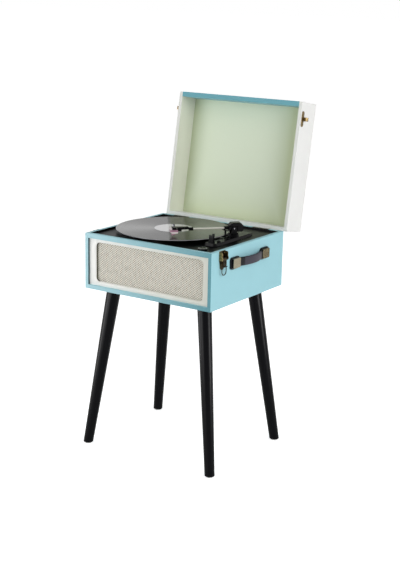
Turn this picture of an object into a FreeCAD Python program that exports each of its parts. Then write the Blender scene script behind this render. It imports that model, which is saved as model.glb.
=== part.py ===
import FreeCAD, Part
import os
from math import asin, cos, radians, sin

# Retro record player on four splayed legs: a wrapped wooden case with a hinged lid, a belt-driven
# platter with a record on it, a pivoted tonearm, side latches and a strap handle.
# Millimetres. The origin is on the floor, midway between the feet: +X to the viewer's right, +Y to
# the rear, +Z up. The lid is modelled closed and then turned open about its hinge pins.

V = FreeCAD.Vector
X, Y, Z = V(1, 0, 0), V(0, 1, 0), V(0, 0, 1)
SIDES = (-1, 1)

# General fits
overrun = 5.0               # how far every cutting shape runs past the face that it cuts
running_clearance = 0.05    # radial play of a pin or shaft that turns in its bore
body_clearance = 0.5        # plain gap between pieces that move past each other
end_clearance = 0.3         # gap under the end of a shaft, or under a piece that turns or slides
same_place = 0.001          # two places closer than this count as one
parallel_share = 0.999      # cosine above which two directions count as one

# Case
case_width = 390.0
case_depth = 342.0
case_height = 146.0
floor_to_case = 432.0
case_wall = 10.0
case_bottom_thickness = 10.5
case_edge_round = 1.5
rail_height = 12.0
rail_depth = 10.0

# Grille front
grille_recess = 6.5
grille_panel_thickness = 8.0
grille_side_border = 20.0
grille_top_border = 10.5
grille_corner_radius = 11.0
grille_bevel = 3.0
cloth_thickness = 1.5
cloth_side_margin = 13.0
cloth_top_margin = 6.0
baffle_thickness = 9.0

# Speakers
speaker_spacing = 180.0
speaker_hole_radius = 33.0
speaker_flange_radius = 41.0
speaker_flange_thickness = 2.5
speaker_ledge_depth = 1.0
speaker_ledge_width = 2.0
speaker_basket_depth = 20.0
speaker_basket_end_radius = 17.0
speaker_basket_wall = 2.0
speaker_magnet_radius = 24.0
speaker_magnet_depth = 13.0
cone_thickness = 1.0
cone_surround_width = 5.0
cone_depth = 14.0
cone_throat_radius = 9.0
cone_clearance = 0.3
cone_cap_rise = 2.0

# Deck
deck_recess = 5.0
deck_thickness = 4.0

# Record and platter
record_radius = 150.5
record_thickness = 1.8
record_edge = 0.9
record_hole_radius = 3.65
record_height = 7.0         # top of the record over the top of the case
record_gap = 1.5            # from the record's rim to the closed lid's front wall
spindle_from_middle = 33.0  # to the left of the middle of the case
label_radius = 50.0
label_thickness = 0.15
mat_radius = 96.0
mat_thickness = 1.2
mat_recess = 0.3
mat_recess_radius = 53.0
platter_radius = 100.0
platter_thickness = 3.0
platter_skirt = 3.0
platter_floor_gap = 2.0
drive_ring_radius = 60.0
drive_ring_wall = 3.0
platter_hub_radius = 14.0
spindle_radius = 3.6
spindle_rise = 11.0
spindle_nose_radius = 2.6
spindle_nose_height = 2.5
spindle_tip_radius = 1.3
spindle_tip_height = 0.6
shaft_radius = 4.0
shaft_length = 30.0
bush_radius = 7.0
bush_flange_radius = 13.0
bush_flange_thickness = 3.0
bush_floor = 3.0

# Motor and belt
motor_distance = 80.0
motor_bearing_deg = 135.0
motor_radius = 18.0
motor_height = 25.0
motor_foot_radius = 24.0
motor_foot_thickness = 2.0
motor_shaft_radius = 1.5
motor_shaft_depth = 20.0
pulley_radius = 6.0
pulley_height = 4.4
pulley_lip = 0.8
pulley_lip_height = 0.7
pulley_deck_gap = 1.2
pulley_hole_gap = 2.0
belt_thickness = 1.2
belt_height = 2.6
belt_clearance = 0.3

# Tonearm base
arm_record_gap = 12.5       # swing axis from the record's rim, across the case
arm_behind_spindle = 32.0
base_width = 38.0
base_rear_reach = 70.0
base_front_reach = 111.0
base_height = 7.0
base_draft = 2.5
base_corner_radius = 9.0
base_boss_radius = 16.0
base_boss_height = 6.0
turret_radius = 13.0
turret_height = 3.2
turret_shaft_radius = 4.0
turret_shaft_length = 10.0
cheek_thickness = 3.0
cheek_length = 14.0
cheek_rise = 6.0            # cheek top over the lift pin
arm_rest_inset = 11.0       # from the front end of the base
arm_rest_width = 15.0
arm_rest_depth = 7.0
arm_rest_stop_thickness = 3.5
arm_rest_stop_rise = 4.0
arm_rest_round = 1.1
arm_rest_foot = 1.5

# Tonearm
arm_over_record = 17.0
arm_swing_deg = -43.0       # from over its rest to the groove where it is shown
tube_radius = 2.4
tube_front = 111.0          # distances in front of the swing axis
tube_rear = 14.0
collar_radius = 4.3
collar_length = 11.0
shell_length = 44.0
shell_front_width = 17.0
shell_rear_width = 11.0
shell_thickness = 6.0
shell_web = 1.6
shell_edge_round = 1.2
shell_heel_length = 9.0
shell_heel_drop = 5.0
finger_lift_width = 3.0
finger_lift_length = 11.0
finger_lift_thickness = 1.2
cartridge_overhang = 4.0    # in front of the shell
cartridge_length = 19.0
cartridge_width = 13.0
cartridge_height = 12.5
cartridge_nose = 4.0
cartridge_nose_rise = 3.0
stylus_length = 9.0
stylus_width = 7.0
stylus_height = 3.6
stylus_clearance = 0.3
stylus_tip_radius = 0.4
stylus_needle_radius = 1.2
stylus_needle_setback = 1.6
rear_block_length = 26.0
rear_block_width = 19.0
rear_block_height = 14.0
rear_block_round = 3.0
rear_socket_radius = 4.6
rear_socket_length = 11.0
weight_behind_pin = 9.0     # front of the weight's lower part, behind the turret's cheeks
weight_hood_reach = 12.0    # how far its upper part reaches forwards over the cheeks
weight_length = 15.0
weight_width = 25.0
weight_rise = 14.0
weight_drop = 8.0
weight_front_slope = 6.0
weight_rear_slope = 7.0
weight_foot_slope = 4.0
weight_bevel = 2.0
lift_pin_radius = 1.5

# Cueing
lift_bar_radius = 27.0
lift_bar_width = 3.0
lift_bar_thickness = 2.0
lift_bar_margin_deg = 5.0
arm_inward_deg = -15.0
lift_stem_radius = 2.5
lift_stem_deg = -105.0      # where the stem stands round the swing axis
lift_stem_depth = 6.0
cue_offset = 5.0            # inner end of the lever's hub, to the right of the swing axis
cue_ahead = 34.0
cue_pin_height = 4.5
cue_hub_radius = 3.0
cue_hub_width = 6.0
cue_pin_radius = 1.5
cue_arm_length = 32.0
cue_arm_thickness = 2.4
cue_pad_length = 11.0
cue_pad_width = 8.0
cue_pad_round = 2.6
cue_ear_thickness = 1.8
cue_ear_round = 3.2

# Speed switch
switch_offset = 11.0
switch_behind_rest = 16.0
switch_travel = 6.0
switch_length = 8.0
switch_width = 7.0
switch_height = 4.0
switch_corner_radius = 1.2
switch_draft = 0.6
switch_groove_width = 1.2
switch_groove_pitch = 2.4
switch_groove_depth = 0.6
switch_stem_width = 3.0
switch_stem_depth = 3.0

# Volume control
knob_from_side = 47.0
knob_from_front = 31.0
knob_radius = 11.5
knob_height = 7.5
knob_draft = 0.5
knob_bevel = 1.0
knob_dish_radius = 9.0
knob_dish_depth = 0.6
knob_shaft_radius = 3.0
knob_shaft_length = 13.0
pot_size = 11.0
pot_height = 11.0
pot_bush_radius = 4.5

# Electronics and rear sockets
board_length = 110.0
board_depth = 60.0
board_thickness = 1.6
board_standoff = 8.0
board_standoff_radius = 3.0
board_margin = 6.0
board_rear_gap = 16.0
capacitor_radius = 5.0
capacitor_height = 16.0
capacitor_spacing = 20.0
capacitor_inset = 15.0
heatsink_length = 26.0
heatsink_thickness = 3.0
heatsink_height = 20.0
jack_spacing = 20.0
jack_height = 60.0
jack_sleeve_radius = 4.15
jack_sleeve_length = 9.0
jack_flange_radius = 6.5
jack_flange_thickness = 1.5
jack_body_radius = 5.0
jack_tail = 8.0
jack_bore_radius = 1.8
jack_from_centre = 60.0
inlet_from_centre = 110.0
inlet_flange_radius = 7.5
inlet_barrel_radius = 5.5
inlet_bore_radius = 2.85
inlet_pin_radius = 1.05
inlet_bore_depth = 9.5

# Lid
lid_height = 76.0
lid_wall = 10.0
lid_front_thickness = 13.0
lid_top_thickness = 7.0
lid_lining_thickness = 1.0
lid_seam = 0.5
lid_edge_round = 1.5
lid_open_deg = 100.0

# Lid hinges
hinge_spacing = 256.0
hinge_width = 50.0
hinge_out = 6.0             # pin axis behind the rear of the case
hinge_drop = 9.0            # pin axis under the top of the case
hinge_knuckle_radius = 3.2
hinge_pin_radius = 1.5
hinge_knuckle_share = 0.3   # share of the width that each outer knuckle takes
hinge_knuckle_gap = 0.3
hinge_leaf_thickness = 1.5
hinge_leaf_length = 22.0
hinge_leaf_round = 4.0
hinge_shelf_thickness = 3.0

# Latches and catches
latch_from_front = 45.0
latch_width = 26.0
latch_foot_width = 17.0
latch_length = 48.0
latch_thickness = 1.5
latch_ear_thickness = 1.5
latch_ear_radius = 5.0
latch_flange_depth = 10.0
latch_flange_drop = 2.0     # flange tops under the plate's top
latch_flange_round = 4.0
latch_pin_drop = 18.0
latch_pin_out = 7.0
latch_pin_radius = 1.25
lever_width = 14.0
lever_length = 21.0
lever_thickness = 1.5
lever_hub_radius = 2.8
lever_flange_depth = 5.0
lever_flange_length = 17.0
lever_slot_width = 5.0
lever_slot_length = 11.0
lever_lip = 3.0
loop_wire_radius = 1.2
loop_width = 18.6           # between the middles of the two wires
loop_length = 42.0
loop_eye_radius = 2.4
loop_eye_width = 2.6
catch_rise = 3.0            # catch foot over the lid's rim
catch_length = 41.0
catch_height = 11.0
catch_thickness = 1.5
catch_hook_width = 10.0
catch_hook_out = 12.5
catch_hook_thickness = 1.5
catch_hook_lip = 3.5
catch_hook_rise = 1.0

# Handle
handle_rise = 106.0         # strap centre line over the underside of the case
handle_reach = 90.0         # from the middle to the outer end of each mount
handle_mount_length = 40.0
handle_mount_height = 30.0
handle_mount_thickness = 4.0
handle_mount_round = 7.0
strap_width = 22.0
strap_thickness = 4.5
strap_bow = 19.0            # outer face of the strap from the case, at the middle
strap_end_margin = 6.0
cap_length = 32.0
cap_thickness = 1.0
cap_clearance = 0.3
cap_round = 3.5
cap_overhang = 1.5          # past the end of the strap

# Legs
leg_inset = 54.0            # leg axis under the case, from the case's sides
leg_splay_x = 55.0          # how far each foot stands out from the leg's top
leg_splay_y = 43.0
leg_top_radius = 18.5
leg_foot_radius = 13.0
pad_height = 4.0
pad_radius = 10.0
pad_bevel = 1.5
leg_plate_size = 62.0
leg_plate_thickness = 3.0
leg_plate_round = 8.0

# Places worked out from the sizes
case_bottom = floor_to_case
case_top = floor_to_case + case_height
half_width = case_width / 2
half_depth = case_depth / 2
inner_x = half_width - case_wall
inner_rear = half_depth - case_wall
rail_back = -half_depth + rail_depth
inside_floor = case_bottom + case_bottom_thickness
grille_front = -half_depth + grille_recess
grille_back = grille_front + grille_panel_thickness
cloth_back = grille_back + cloth_thickness
baffle_back = cloth_back + baffle_thickness
rail_bottom = case_top - rail_height
grille_middle = (inside_floor + rail_bottom) / 2
deck_top = case_top - deck_recess
deck_bottom = deck_top - deck_thickness
record_top = case_top + record_height
record_bottom = record_top - record_thickness
mat_bottom = record_bottom - mat_thickness
platter_bottom = mat_bottom - platter_thickness
skirt_bottom = deck_top + platter_floor_gap
spindle_x = -spindle_from_middle
spindle_y = -half_depth + lid_front_thickness + record_gap + record_radius
motor_x = spindle_x + motor_distance * cos(radians(motor_bearing_deg))
motor_y = spindle_y + motor_distance * sin(radians(motor_bearing_deg))
arm_x = spindle_x + record_radius + arm_record_gap
arm_y = spindle_y + arm_behind_spindle
arm_z = record_top + arm_over_record
arm_rest_y = arm_y - base_front_reach + arm_rest_inset
base_top = deck_top + base_height
boss_top = base_top + base_boss_height
turret_bottom = boss_top + end_clearance
cheek_inner = rear_block_width / 2 + body_clearance
hinge_y = half_depth + hinge_out
hinge_z = case_top - hinge_drop
lid_rim = case_top + lid_seam
lid_top = lid_rim + lid_height
lid_inner_top = lid_top - lid_top_thickness
latch_y = -half_depth + latch_from_front
latch_pin_x = half_width + latch_pin_out
latch_pin_z = case_top - latch_pin_drop
handle_z = case_bottom + handle_rise
leg_top = case_bottom - leg_plate_thickness
leg_top_x = half_width - leg_inset
leg_top_y = half_depth - leg_inset
foot_x = leg_top_x + leg_splay_x
foot_y = leg_top_y + leg_splay_y


def block(x0, x1, y0, y1, z0, z1):
    """A box between two values on each axis."""
    return Part.makeBox(x1 - x0, y1 - y0, z1 - z0, V(x0, y0, z0))


def edges_on_plane(shape, axis, value):
    """The edges that lie in the plane across an axis at one value."""
    return [e for e in shape.Edges
            if all(abs(v.Point.dot(axis) - value) < same_place for v in e.Vertexes)]


def edges_along(shape, axis):
    """The straight edges that run along an axis."""
    straight = [e for e in shape.Edges if isinstance(e.Curve, Part.Line)]
    return [e for e in straight if abs(e.tangentAt(e.FirstParameter).dot(axis)) > parallel_share]


def rounded_outline(width, height, radius, level=0):
    """A centred rectangle with rounded corners, in a plane across Z."""
    w, h = width / 2 - radius, height / 2 - radius
    arcs = []
    for turn, (x, y) in enumerate(((w, h), (-w, h), (-w, -h), (w, -h))):
        arcs.append(Part.makeCircle(radius, V(x, y, level), Z, 90 * turn, 90 * (turn + 1)))
    lines = []
    for arc, following in zip(arcs, arcs[1:] + arcs[:1]):
        start, end = arc.valueAt(arc.LastParameter), following.valueAt(following.FirstParameter)
        lines.append(Part.makeLine(start, end))
    return Part.Wire(Part.__sortEdges__(arcs + lines))


def rounded_slab(width, height, radius, thickness):
    """A centred slab with rounded corners, its underside at zero."""
    return Part.Face(rounded_outline(width, height, radius)).extrude(V(0, 0, thickness))


def drafted_slab(width, height, radius, thickness, draft):
    """A centred rounded slab whose sides lean in by the draft."""
    foot = rounded_outline(width, height, radius)
    head = rounded_outline(width - 2 * draft, height - 2 * draft, radius - draft, thickness)
    return Part.makeLoft([foot, head], True, True)


def placed(shape, x, y, z, across=X, up=Y, out=Z):
    """A shape moved so that its own X, Y and Z run along three given directions."""
    moved = shape.copy()
    moved.Placement = FreeCAD.Placement(V(x, y, z), FreeCAD.Rotation(across, up, out, "ZXY"))
    return moved


def on_right_wall(shape, y, z, out=0):
    """A flat shape laid on the right-hand wall, its thickness pointing outwards."""
    return placed(shape, half_width + out, y, z, Y, Z, X)


def revolved(profile, sweep=360):
    """A solid of revolution about Z from a closed list of radius and height."""
    points = [V(r, 0, z) for r, z in profile]
    return Part.Face(Part.makePolygon(points + points[:1])).revolve(V(0, 0, 0), Z, sweep)


def cylinder_along(axis, radius, length, start):
    """A cylinder from a point along an axis."""
    return Part.makeCylinder(radius, length, start, axis)


def mirrored(shape):
    """The same piece on the other side of the middle plane."""
    return shape.mirror(V(0, 0, 0), X)


def opened(shape):
    """A piece of the closed lid, turned open about the hinge pins."""
    turned = shape.copy()
    turned.rotate(V(0, hinge_y, hinge_z), X, -lid_open_deg)
    return turned


def on_arm(shape):
    """A tonearm piece, modelled pointing to the front from the swing axis, turned to the record."""
    turned = shape.copy()
    turned.rotate(V(0, 0, 0), Z, arm_swing_deg)
    turned.translate(V(arm_x, arm_y, arm_z))
    return turned


def save(node, shape):
    """One STEP file for each piece."""
    shape.exportStep("parts/" + node + ".step")


def case_side(side):
    """A full-height side panel with its outer edges rounded off."""
    panel = block(inner_x, half_width, -half_depth, half_depth, case_bottom, case_top)
    panel = panel.makeFillet(case_edge_round, edges_on_plane(panel, X, half_width))
    return panel if side > 0 else mirrored(panel)


def case_bottom_panel():
    return block(-inner_x, inner_x, -half_depth, half_depth, case_bottom, inside_floor)


def case_rear_panel():
    """The rear panel with round holes for the line sockets and the power inlet."""
    panel = block(-inner_x, inner_x, inner_rear, half_depth, inside_floor, case_top)
    through, start = case_wall + 2 * overrun, inner_rear - overrun
    for x in jack_places():
        panel = panel.cut(rear_cylinder(jack_body_radius, through, x, start))
    return panel.cut(rear_cylinder(inlet_barrel_radius, through, inlet_from_centre, start))


def front_rail():
    return block(-inner_x, inner_x, -half_depth, rail_back, rail_bottom, case_top)


def grille_panel():
    """The recessed front frame, its rounded opening bevelled towards the front."""
    height = rail_bottom - inside_floor
    panel = block(-inner_x, inner_x, grille_front, grille_back, inside_floor, rail_bottom)
    wide = 2 * (inner_x - grille_side_border)
    tall = height - 2 * grille_top_border
    hole = rounded_slab(wide, tall, grille_corner_radius, grille_panel_thickness + 2 * overrun)
    mouth = [rounded_outline(wide, tall, grille_corner_radius),
             rounded_outline(wide + 2 * grille_bevel, tall + 2 * grille_bevel,
                             grille_corner_radius + grille_bevel, grille_bevel)]
    panel = panel.cut(placed(hole, 0, grille_back + overrun, grille_middle, X, Z, -Y))
    bevel = Part.makeLoft(mouth, True, True)
    return panel.cut(placed(bevel, 0, grille_front + grille_bevel, grille_middle, X, Z, -Y))


def grille_cloth():
    """Cloth stretched over the baffle, its edge hidden behind the frame."""
    edge = inner_x - cloth_side_margin
    top = rail_bottom - cloth_top_margin
    return block(-edge, edge, grille_back, cloth_back, inside_floor + cloth_top_margin, top)


def speaker_places():
    return [side * speaker_spacing / 2 for side in SIDES]


def baffle_board():
    """The board behind the cloth, with a hole for each speaker."""
    board = block(-inner_x, inner_x, cloth_back, baffle_back, inside_floor, rail_bottom)
    for x in speaker_places():
        start = V(x, cloth_back - overrun, grille_middle)
        board = board.cut(cylinder_along(Y, speaker_hole_radius, baffle_thickness + 2 * overrun, start))
    return board


def speaker_frame():
    """Flange, tapering basket and magnet, with a ledge that the cone's surround is glued to."""
    ledge = speaker_hole_radius
    bore = ledge - speaker_ledge_width
    neck = speaker_basket_end_radius
    wall = speaker_basket_wall
    depth = speaker_flange_thickness + speaker_basket_depth
    magnet = depth + speaker_magnet_depth
    return revolved([
        (ledge, 0), (speaker_flange_radius, 0), (speaker_flange_radius, speaker_flange_thickness),
        (bore + wall, speaker_flange_thickness), (neck, depth - wall), (speaker_magnet_radius, depth),
        (speaker_magnet_radius, magnet), (0, magnet), (0, depth - wall), (neck - wall, depth - wall),
        (bore, speaker_flange_thickness), (bore, speaker_ledge_depth), (ledge, speaker_ledge_depth)])


def speaker_cone():
    """A thin paper cone with a flat surround and a domed dust cap."""
    rim = speaker_hole_radius - cone_clearance
    shoulder = rim - cone_surround_width
    throat = cone_throat_radius
    front = 0
    back = speaker_ledge_depth
    return revolved([
        (rim, front), (rim, back), (shoulder, back), (throat, cone_depth + cone_thickness),
        (0, cone_depth), (0, cone_depth - cone_cap_rise), (throat, cone_depth - cone_thickness),
        (shoulder, front)])


def pair_of_speakers(piece):
    """The same piece behind each hole of the baffle."""
    places = speaker_places()
    return Part.makeCompound([placed(piece, x, baffle_back, grille_middle, X, -Z, Y) for x in places])


def deck_plate():
    """The black top board, with holes for the bearing, the pulley and the control."""
    plate = block(-inner_x, inner_x, rail_back, inner_rear, deck_bottom, deck_top)
    holes = ((bush_radius, spindle_x, spindle_y), (pulley_radius + pulley_hole_gap, motor_x, motor_y),
             (pot_bush_radius, *knob_place()))
    for radius, x, y in holes:
        through = deck_thickness + 2 * overrun
        plate = plate.cut(cylinder_along(Z, radius, through, V(x, y, deck_bottom - overrun)))
    return plate


def bearing_bush():
    """A flanged bronze bush, closed at its foot, that carries the spindle under the deck."""
    foot = deck_top - shaft_length - bush_floor
    bore = shaft_radius + running_clearance
    flange = deck_bottom - bush_flange_thickness
    profile = [
        (0, foot), (bush_radius, foot), (bush_radius, flange), (bush_flange_radius, flange),
        (bush_flange_radius, deck_bottom), (bush_radius, deck_bottom), (bush_radius, deck_top),
        (bore, deck_top), (bore, foot + bush_floor), (0, foot + bush_floor)]
    return placed(revolved(profile), spindle_x, spindle_y, 0)


def spindle():
    """Shaft and rounded centre spindle in one turned piece."""
    foot = deck_top - shaft_length + end_clearance
    head = record_top + spindle_rise
    neck = head - spindle_nose_height
    profile = [
        (0, foot), (shaft_radius, foot), (shaft_radius, mat_bottom), (spindle_radius, mat_bottom),
        (spindle_radius, neck), (spindle_nose_radius, head - spindle_tip_height),
        (spindle_tip_radius, head), (0, head)]
    return placed(revolved(profile), spindle_x, spindle_y, 0)


def platter():
    """A shallow dish with a turned-down rim, a ring that the belt drives and a hub on the shaft."""
    rim = platter_radius
    ring = drive_ring_radius
    inner_ring = ring - drive_ring_wall
    hub = platter_hub_radius
    profile = [
        (shaft_radius, deck_top + body_clearance), (hub, deck_top + body_clearance), (hub, platter_bottom),
        (inner_ring, platter_bottom), (inner_ring, skirt_bottom), (ring, skirt_bottom),
        (ring, platter_bottom), (rim - platter_skirt, platter_bottom), (rim - platter_skirt, skirt_bottom),
        (rim, skirt_bottom), (rim, mat_bottom), (shaft_radius, mat_bottom)]
    return placed(revolved(profile), spindle_x, spindle_y, 0)


def platter_mat():
    """A rubber mat, sunk in the middle for the record's lower label."""
    sunk = record_bottom - mat_recess
    profile = [
        (shaft_radius, mat_bottom), (mat_radius, mat_bottom), (mat_radius, record_bottom),
        (mat_recess_radius, record_bottom), (mat_recess_radius, sunk), (shaft_radius, sunk)]
    return placed(revolved(profile), spindle_x, spindle_y, 0)


def record():
    """A long-playing disc with a rounded rim."""
    flat = record_radius - record_edge
    middle = (record_top + record_bottom) / 2
    low, high = V(flat, 0, record_bottom), V(flat, 0, record_top)
    hole_low, hole_high = V(record_hole_radius, 0, record_bottom), V(record_hole_radius, 0, record_top)
    rim = Part.Arc(low, V(record_radius, 0, middle), high).toShape()
    edges = [Part.makeLine(hole_low, low), rim, Part.makeLine(high, hole_high),
             Part.makeLine(hole_high, hole_low)]
    return placed(Part.Face(Part.Wire(edges)).revolve(V(0, 0, 0), Z, 360), spindle_x, spindle_y, 0)


def record_labels():
    """A paper label on each face of the record."""
    labels = []
    for foot in (record_top, record_bottom - label_thickness):
        head = foot + label_thickness
        profile = [(record_hole_radius, foot), (label_radius, foot), (label_radius, head),
                   (record_hole_radius, head)]
        labels.append(placed(revolved(profile), spindle_x, spindle_y, 0))
    return Part.makeCompound(labels)


def motor():
    """A can motor with a foot flange under the deck and a bore for its shaft."""
    top = deck_bottom
    can = cylinder_along(Z, motor_radius, motor_height, V(motor_x, motor_y, top - motor_height))
    foot = cylinder_along(Z, motor_foot_radius, motor_foot_thickness,
                          V(motor_x, motor_y, top - motor_foot_thickness))
    bore = cylinder_along(Z, motor_shaft_radius + running_clearance, motor_shaft_depth + overrun,
                          V(motor_x, motor_y, top - motor_shaft_depth))
    return can.fuse(foot).cut(bore).removeSplitter()


def motor_pulley():
    """A crowned pulley with a lip, on the motor's shaft."""
    foot = deck_top + pulley_deck_gap
    head = foot + pulley_height
    shaft_foot = deck_bottom - motor_shaft_depth + end_clearance
    lip = pulley_radius + pulley_lip
    profile = [
        (0, shaft_foot), (motor_shaft_radius, shaft_foot), (motor_shaft_radius, foot), (lip, foot),
        (lip, foot + pulley_lip_height), (pulley_radius, foot + pulley_lip_height),
        (pulley_radius, head), (0, head)]
    return placed(revolved(profile), motor_x, motor_y, 0)


def belt_face(large, small):
    """The flat shape inside a loop that runs round two circles, the larger at zero, the other along X."""
    lean = asin((large - small) / motor_distance)
    reach, rise = sin(lean), cos(lean)
    ends = [V(large * reach, large * rise, 0), V(motor_distance + small * reach, small * rise, 0),
            V(motor_distance + small * reach, -small * rise, 0), V(large * reach, -large * rise, 0)]
    far, near = V(motor_distance + small, 0, 0), V(-large, 0, 0)
    edges = [Part.makeLine(ends[0], ends[1]), Part.Arc(ends[1], far, ends[2]).toShape(),
             Part.makeLine(ends[2], ends[3]), Part.Arc(ends[3], near, ends[0]).toShape()]
    return Part.Face(Part.Wire(edges))


def drive_belt():
    """A flat rubber belt round the platter's ring and the motor pulley."""
    ring = drive_ring_radius + belt_clearance
    pulley = pulley_radius + belt_clearance
    foot = deck_top + pulley_deck_gap + pulley_lip_height + belt_clearance
    outer = belt_face(ring + belt_thickness, pulley + belt_thickness).extrude(V(0, 0, belt_height))
    inner = belt_face(ring, pulley).extrude(V(0, 0, belt_height))
    belt = outer.cut(inner)
    belt.rotate(V(0, 0, 0), Z, motor_bearing_deg)
    belt.translate(V(spindle_x, spindle_y, foot))
    return belt


def switch_place():
    return arm_x + switch_offset, arm_rest_y + switch_behind_rest


def lift_stem_place():
    """The cue lift's stem, under its curved bar."""
    turn = radians(lift_stem_deg)
    return arm_x + lift_bar_radius * cos(turn), arm_y + lift_bar_radius * sin(turn)


def cue_ears():
    """Two ears on the base that carry the cue lever's pin ends."""
    inner = arm_x + cue_offset - body_clearance
    outer = inner + cue_hub_width + 2 * body_clearance
    y, z = arm_y - cue_ahead, base_top + cue_pin_height
    ears = []
    for start in (inner - cue_ear_thickness, outer):
        round_top = cylinder_along(X, cue_ear_round, cue_ear_thickness, V(start, y, z))
        stem = block(start, start + cue_ear_thickness, y - cue_ear_round, y + cue_ear_round, base_top, z)
        ears.append(round_top.fuse(stem))
    bore = cylinder_along(X, cue_pin_radius + running_clearance,
                          outer - inner + 2 * cue_ear_thickness + 2 * overrun,
                          V(inner - cue_ear_thickness - overrun, y, z))
    return ears[0].fuse(ears[1]).cut(bore)


def arm_rest():
    """A post with a ledge just under the parked tube and a stop on its outer side."""
    y = arm_rest_y
    left = arm_x - arm_rest_width / 2
    ledge = arm_z - tube_radius - body_clearance
    stop = arm_x + tube_radius + body_clearance
    rear, front = y + arm_rest_depth / 2, y - arm_rest_depth / 2
    post = block(left + arm_rest_foot, stop + arm_rest_stop_thickness, front, rear, base_top, ledge)
    upright = block(stop, stop + arm_rest_stop_thickness, front, rear, base_top, ledge + arm_rest_stop_rise)
    upright = upright.makeFillet(arm_rest_round, edges_on_plane(upright, Z, ledge + arm_rest_stop_rise))
    foot = block(left, stop + arm_rest_stop_thickness, front - arm_rest_foot, rear + arm_rest_foot,
                 base_top, base_top + arm_rest_foot)
    return post.fuse(upright).fuse(foot)


def tonearm_base():
    """The long moulded base: drafted plate, pivot boss, ears for the cue lever and the arm rest."""
    length = base_rear_reach + base_front_reach
    middle = arm_y + (base_rear_reach - base_front_reach) / 2
    plate = drafted_slab(base_width, length, base_corner_radius, base_height, base_draft)
    shape = placed(plate, arm_x, middle, deck_top)
    boss = Part.makeCone(base_boss_radius, turret_radius, base_boss_height, V(arm_x, arm_y, base_top))
    shape = shape.fuse(boss).fuse(cue_ears()).fuse(arm_rest())
    x, y = switch_place()
    reach = switch_travel + switch_stem_width / 2 + body_clearance
    side = switch_stem_width / 2 + body_clearance
    depth = switch_stem_depth + body_clearance
    shape = shape.cut(block(x - side, x + side, y - reach, y + reach, base_top - depth, base_top + overrun))
    bore = turret_shaft_radius + running_clearance
    foot = boss_top - turret_shaft_length - body_clearance
    shape = shape.cut(cylinder_along(Z, bore, turret_shaft_length + overrun, V(arm_x, arm_y, foot)))
    stem_x, stem_y = lift_stem_place()
    guide = lift_stem_radius + running_clearance
    depth = lift_stem_depth + body_clearance
    shape = shape.cut(cylinder_along(Z, guide, base_height + overrun, V(stem_x, stem_y, base_top - depth)))
    return shape.removeSplitter()


def turret():
    """The turning yoke: a disc on a shaft, with two cheeks that hold the lift pin."""
    z = turret_bottom - arm_z
    disc = cylinder_along(Z, turret_radius, turret_height, V(0, 0, z))
    shaft = cylinder_along(Z, turret_shaft_radius, turret_shaft_length, V(0, 0, z - turret_shaft_length))
    shape = disc.fuse(shaft)
    for side in SIDES:
        edge = side * (cheek_inner + cheek_thickness / 2)
        cheek = block(edge - cheek_thickness / 2, edge + cheek_thickness / 2,
                      -cheek_length / 2, cheek_length / 2, z + turret_height / 2, 0)
        start = V(edge - cheek_thickness / 2, 0, 0)
        shape = shape.fuse(cheek).fuse(cylinder_along(X, cheek_rise, cheek_thickness, start))
    reach = cheek_inner + cheek_thickness
    bore = cylinder_along(X, lift_pin_radius, 2 * (reach + overrun), V(-reach - overrun, 0, 0))
    return on_arm(shape.cut(bore).removeSplitter())


def lift_pin():
    reach = cheek_inner + cheek_thickness
    return on_arm(cylinder_along(X, lift_pin_radius, 2 * reach, V(-reach, 0, 0)))


def tube():
    length = tube_front - tube_rear
    return on_arm(cylinder_along(Y, tube_radius, length, V(0, -tube_front, 0)))


def counterweight():
    """The faceted weight housing, drawn as a side profile: a hood over the cheeks, deeper behind them."""
    inner, front = weight_behind_pin, -weight_hood_reach
    rear = inner + weight_length
    head, foot = weight_rise, -weight_drop
    hood = cheek_rise + body_clearance
    side = [(inner, foot), (inner, hood), (front, hood), (front, head - weight_front_slope),
            (front + weight_front_slope, head), (rear - weight_rear_slope, head),
            (rear, head - weight_rear_slope), (rear, foot + weight_foot_slope),
            (rear - weight_foot_slope, foot)]
    half = weight_width / 2
    points = [V(-half, y, z) for y, z in side]
    housing = Part.Face(Part.makePolygon(points + points[:1])).extrude(V(weight_width, 0, 0))
    edges = edges_on_plane(housing, X, -half) + edges_on_plane(housing, X, half)
    upper = [e for e in edges if all(v.Point.z > hood + same_place for v in e.Vertexes)]
    return housing.makeChamfer(weight_bevel, upper)


def arm_rear_block():
    """The moulded block round the lift pin, with the tube's socket and the counterweight behind."""
    half = rear_block_length / 2
    core = block(-rear_block_width / 2, rear_block_width / 2, -half, half,
                 -rear_block_height / 2, rear_block_height / 2)
    core = core.makeFillet(rear_block_round, edges_along(core, Y))
    socket_front = -half - rear_socket_length
    socket = cylinder_along(Y, rear_socket_radius, rear_socket_length, V(0, socket_front, 0))
    shape = core.fuse(socket).fuse(counterweight())
    start = socket_front - overrun
    shape = shape.cut(cylinder_along(Y, tube_radius, -tube_rear - start, V(0, start, 0)))
    reach = rear_block_width / 2 + overrun
    bore = cylinder_along(X, lift_pin_radius + running_clearance, 2 * reach, V(-reach, 0, 0))
    return on_arm(shape.cut(bore).removeSplitter())


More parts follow.
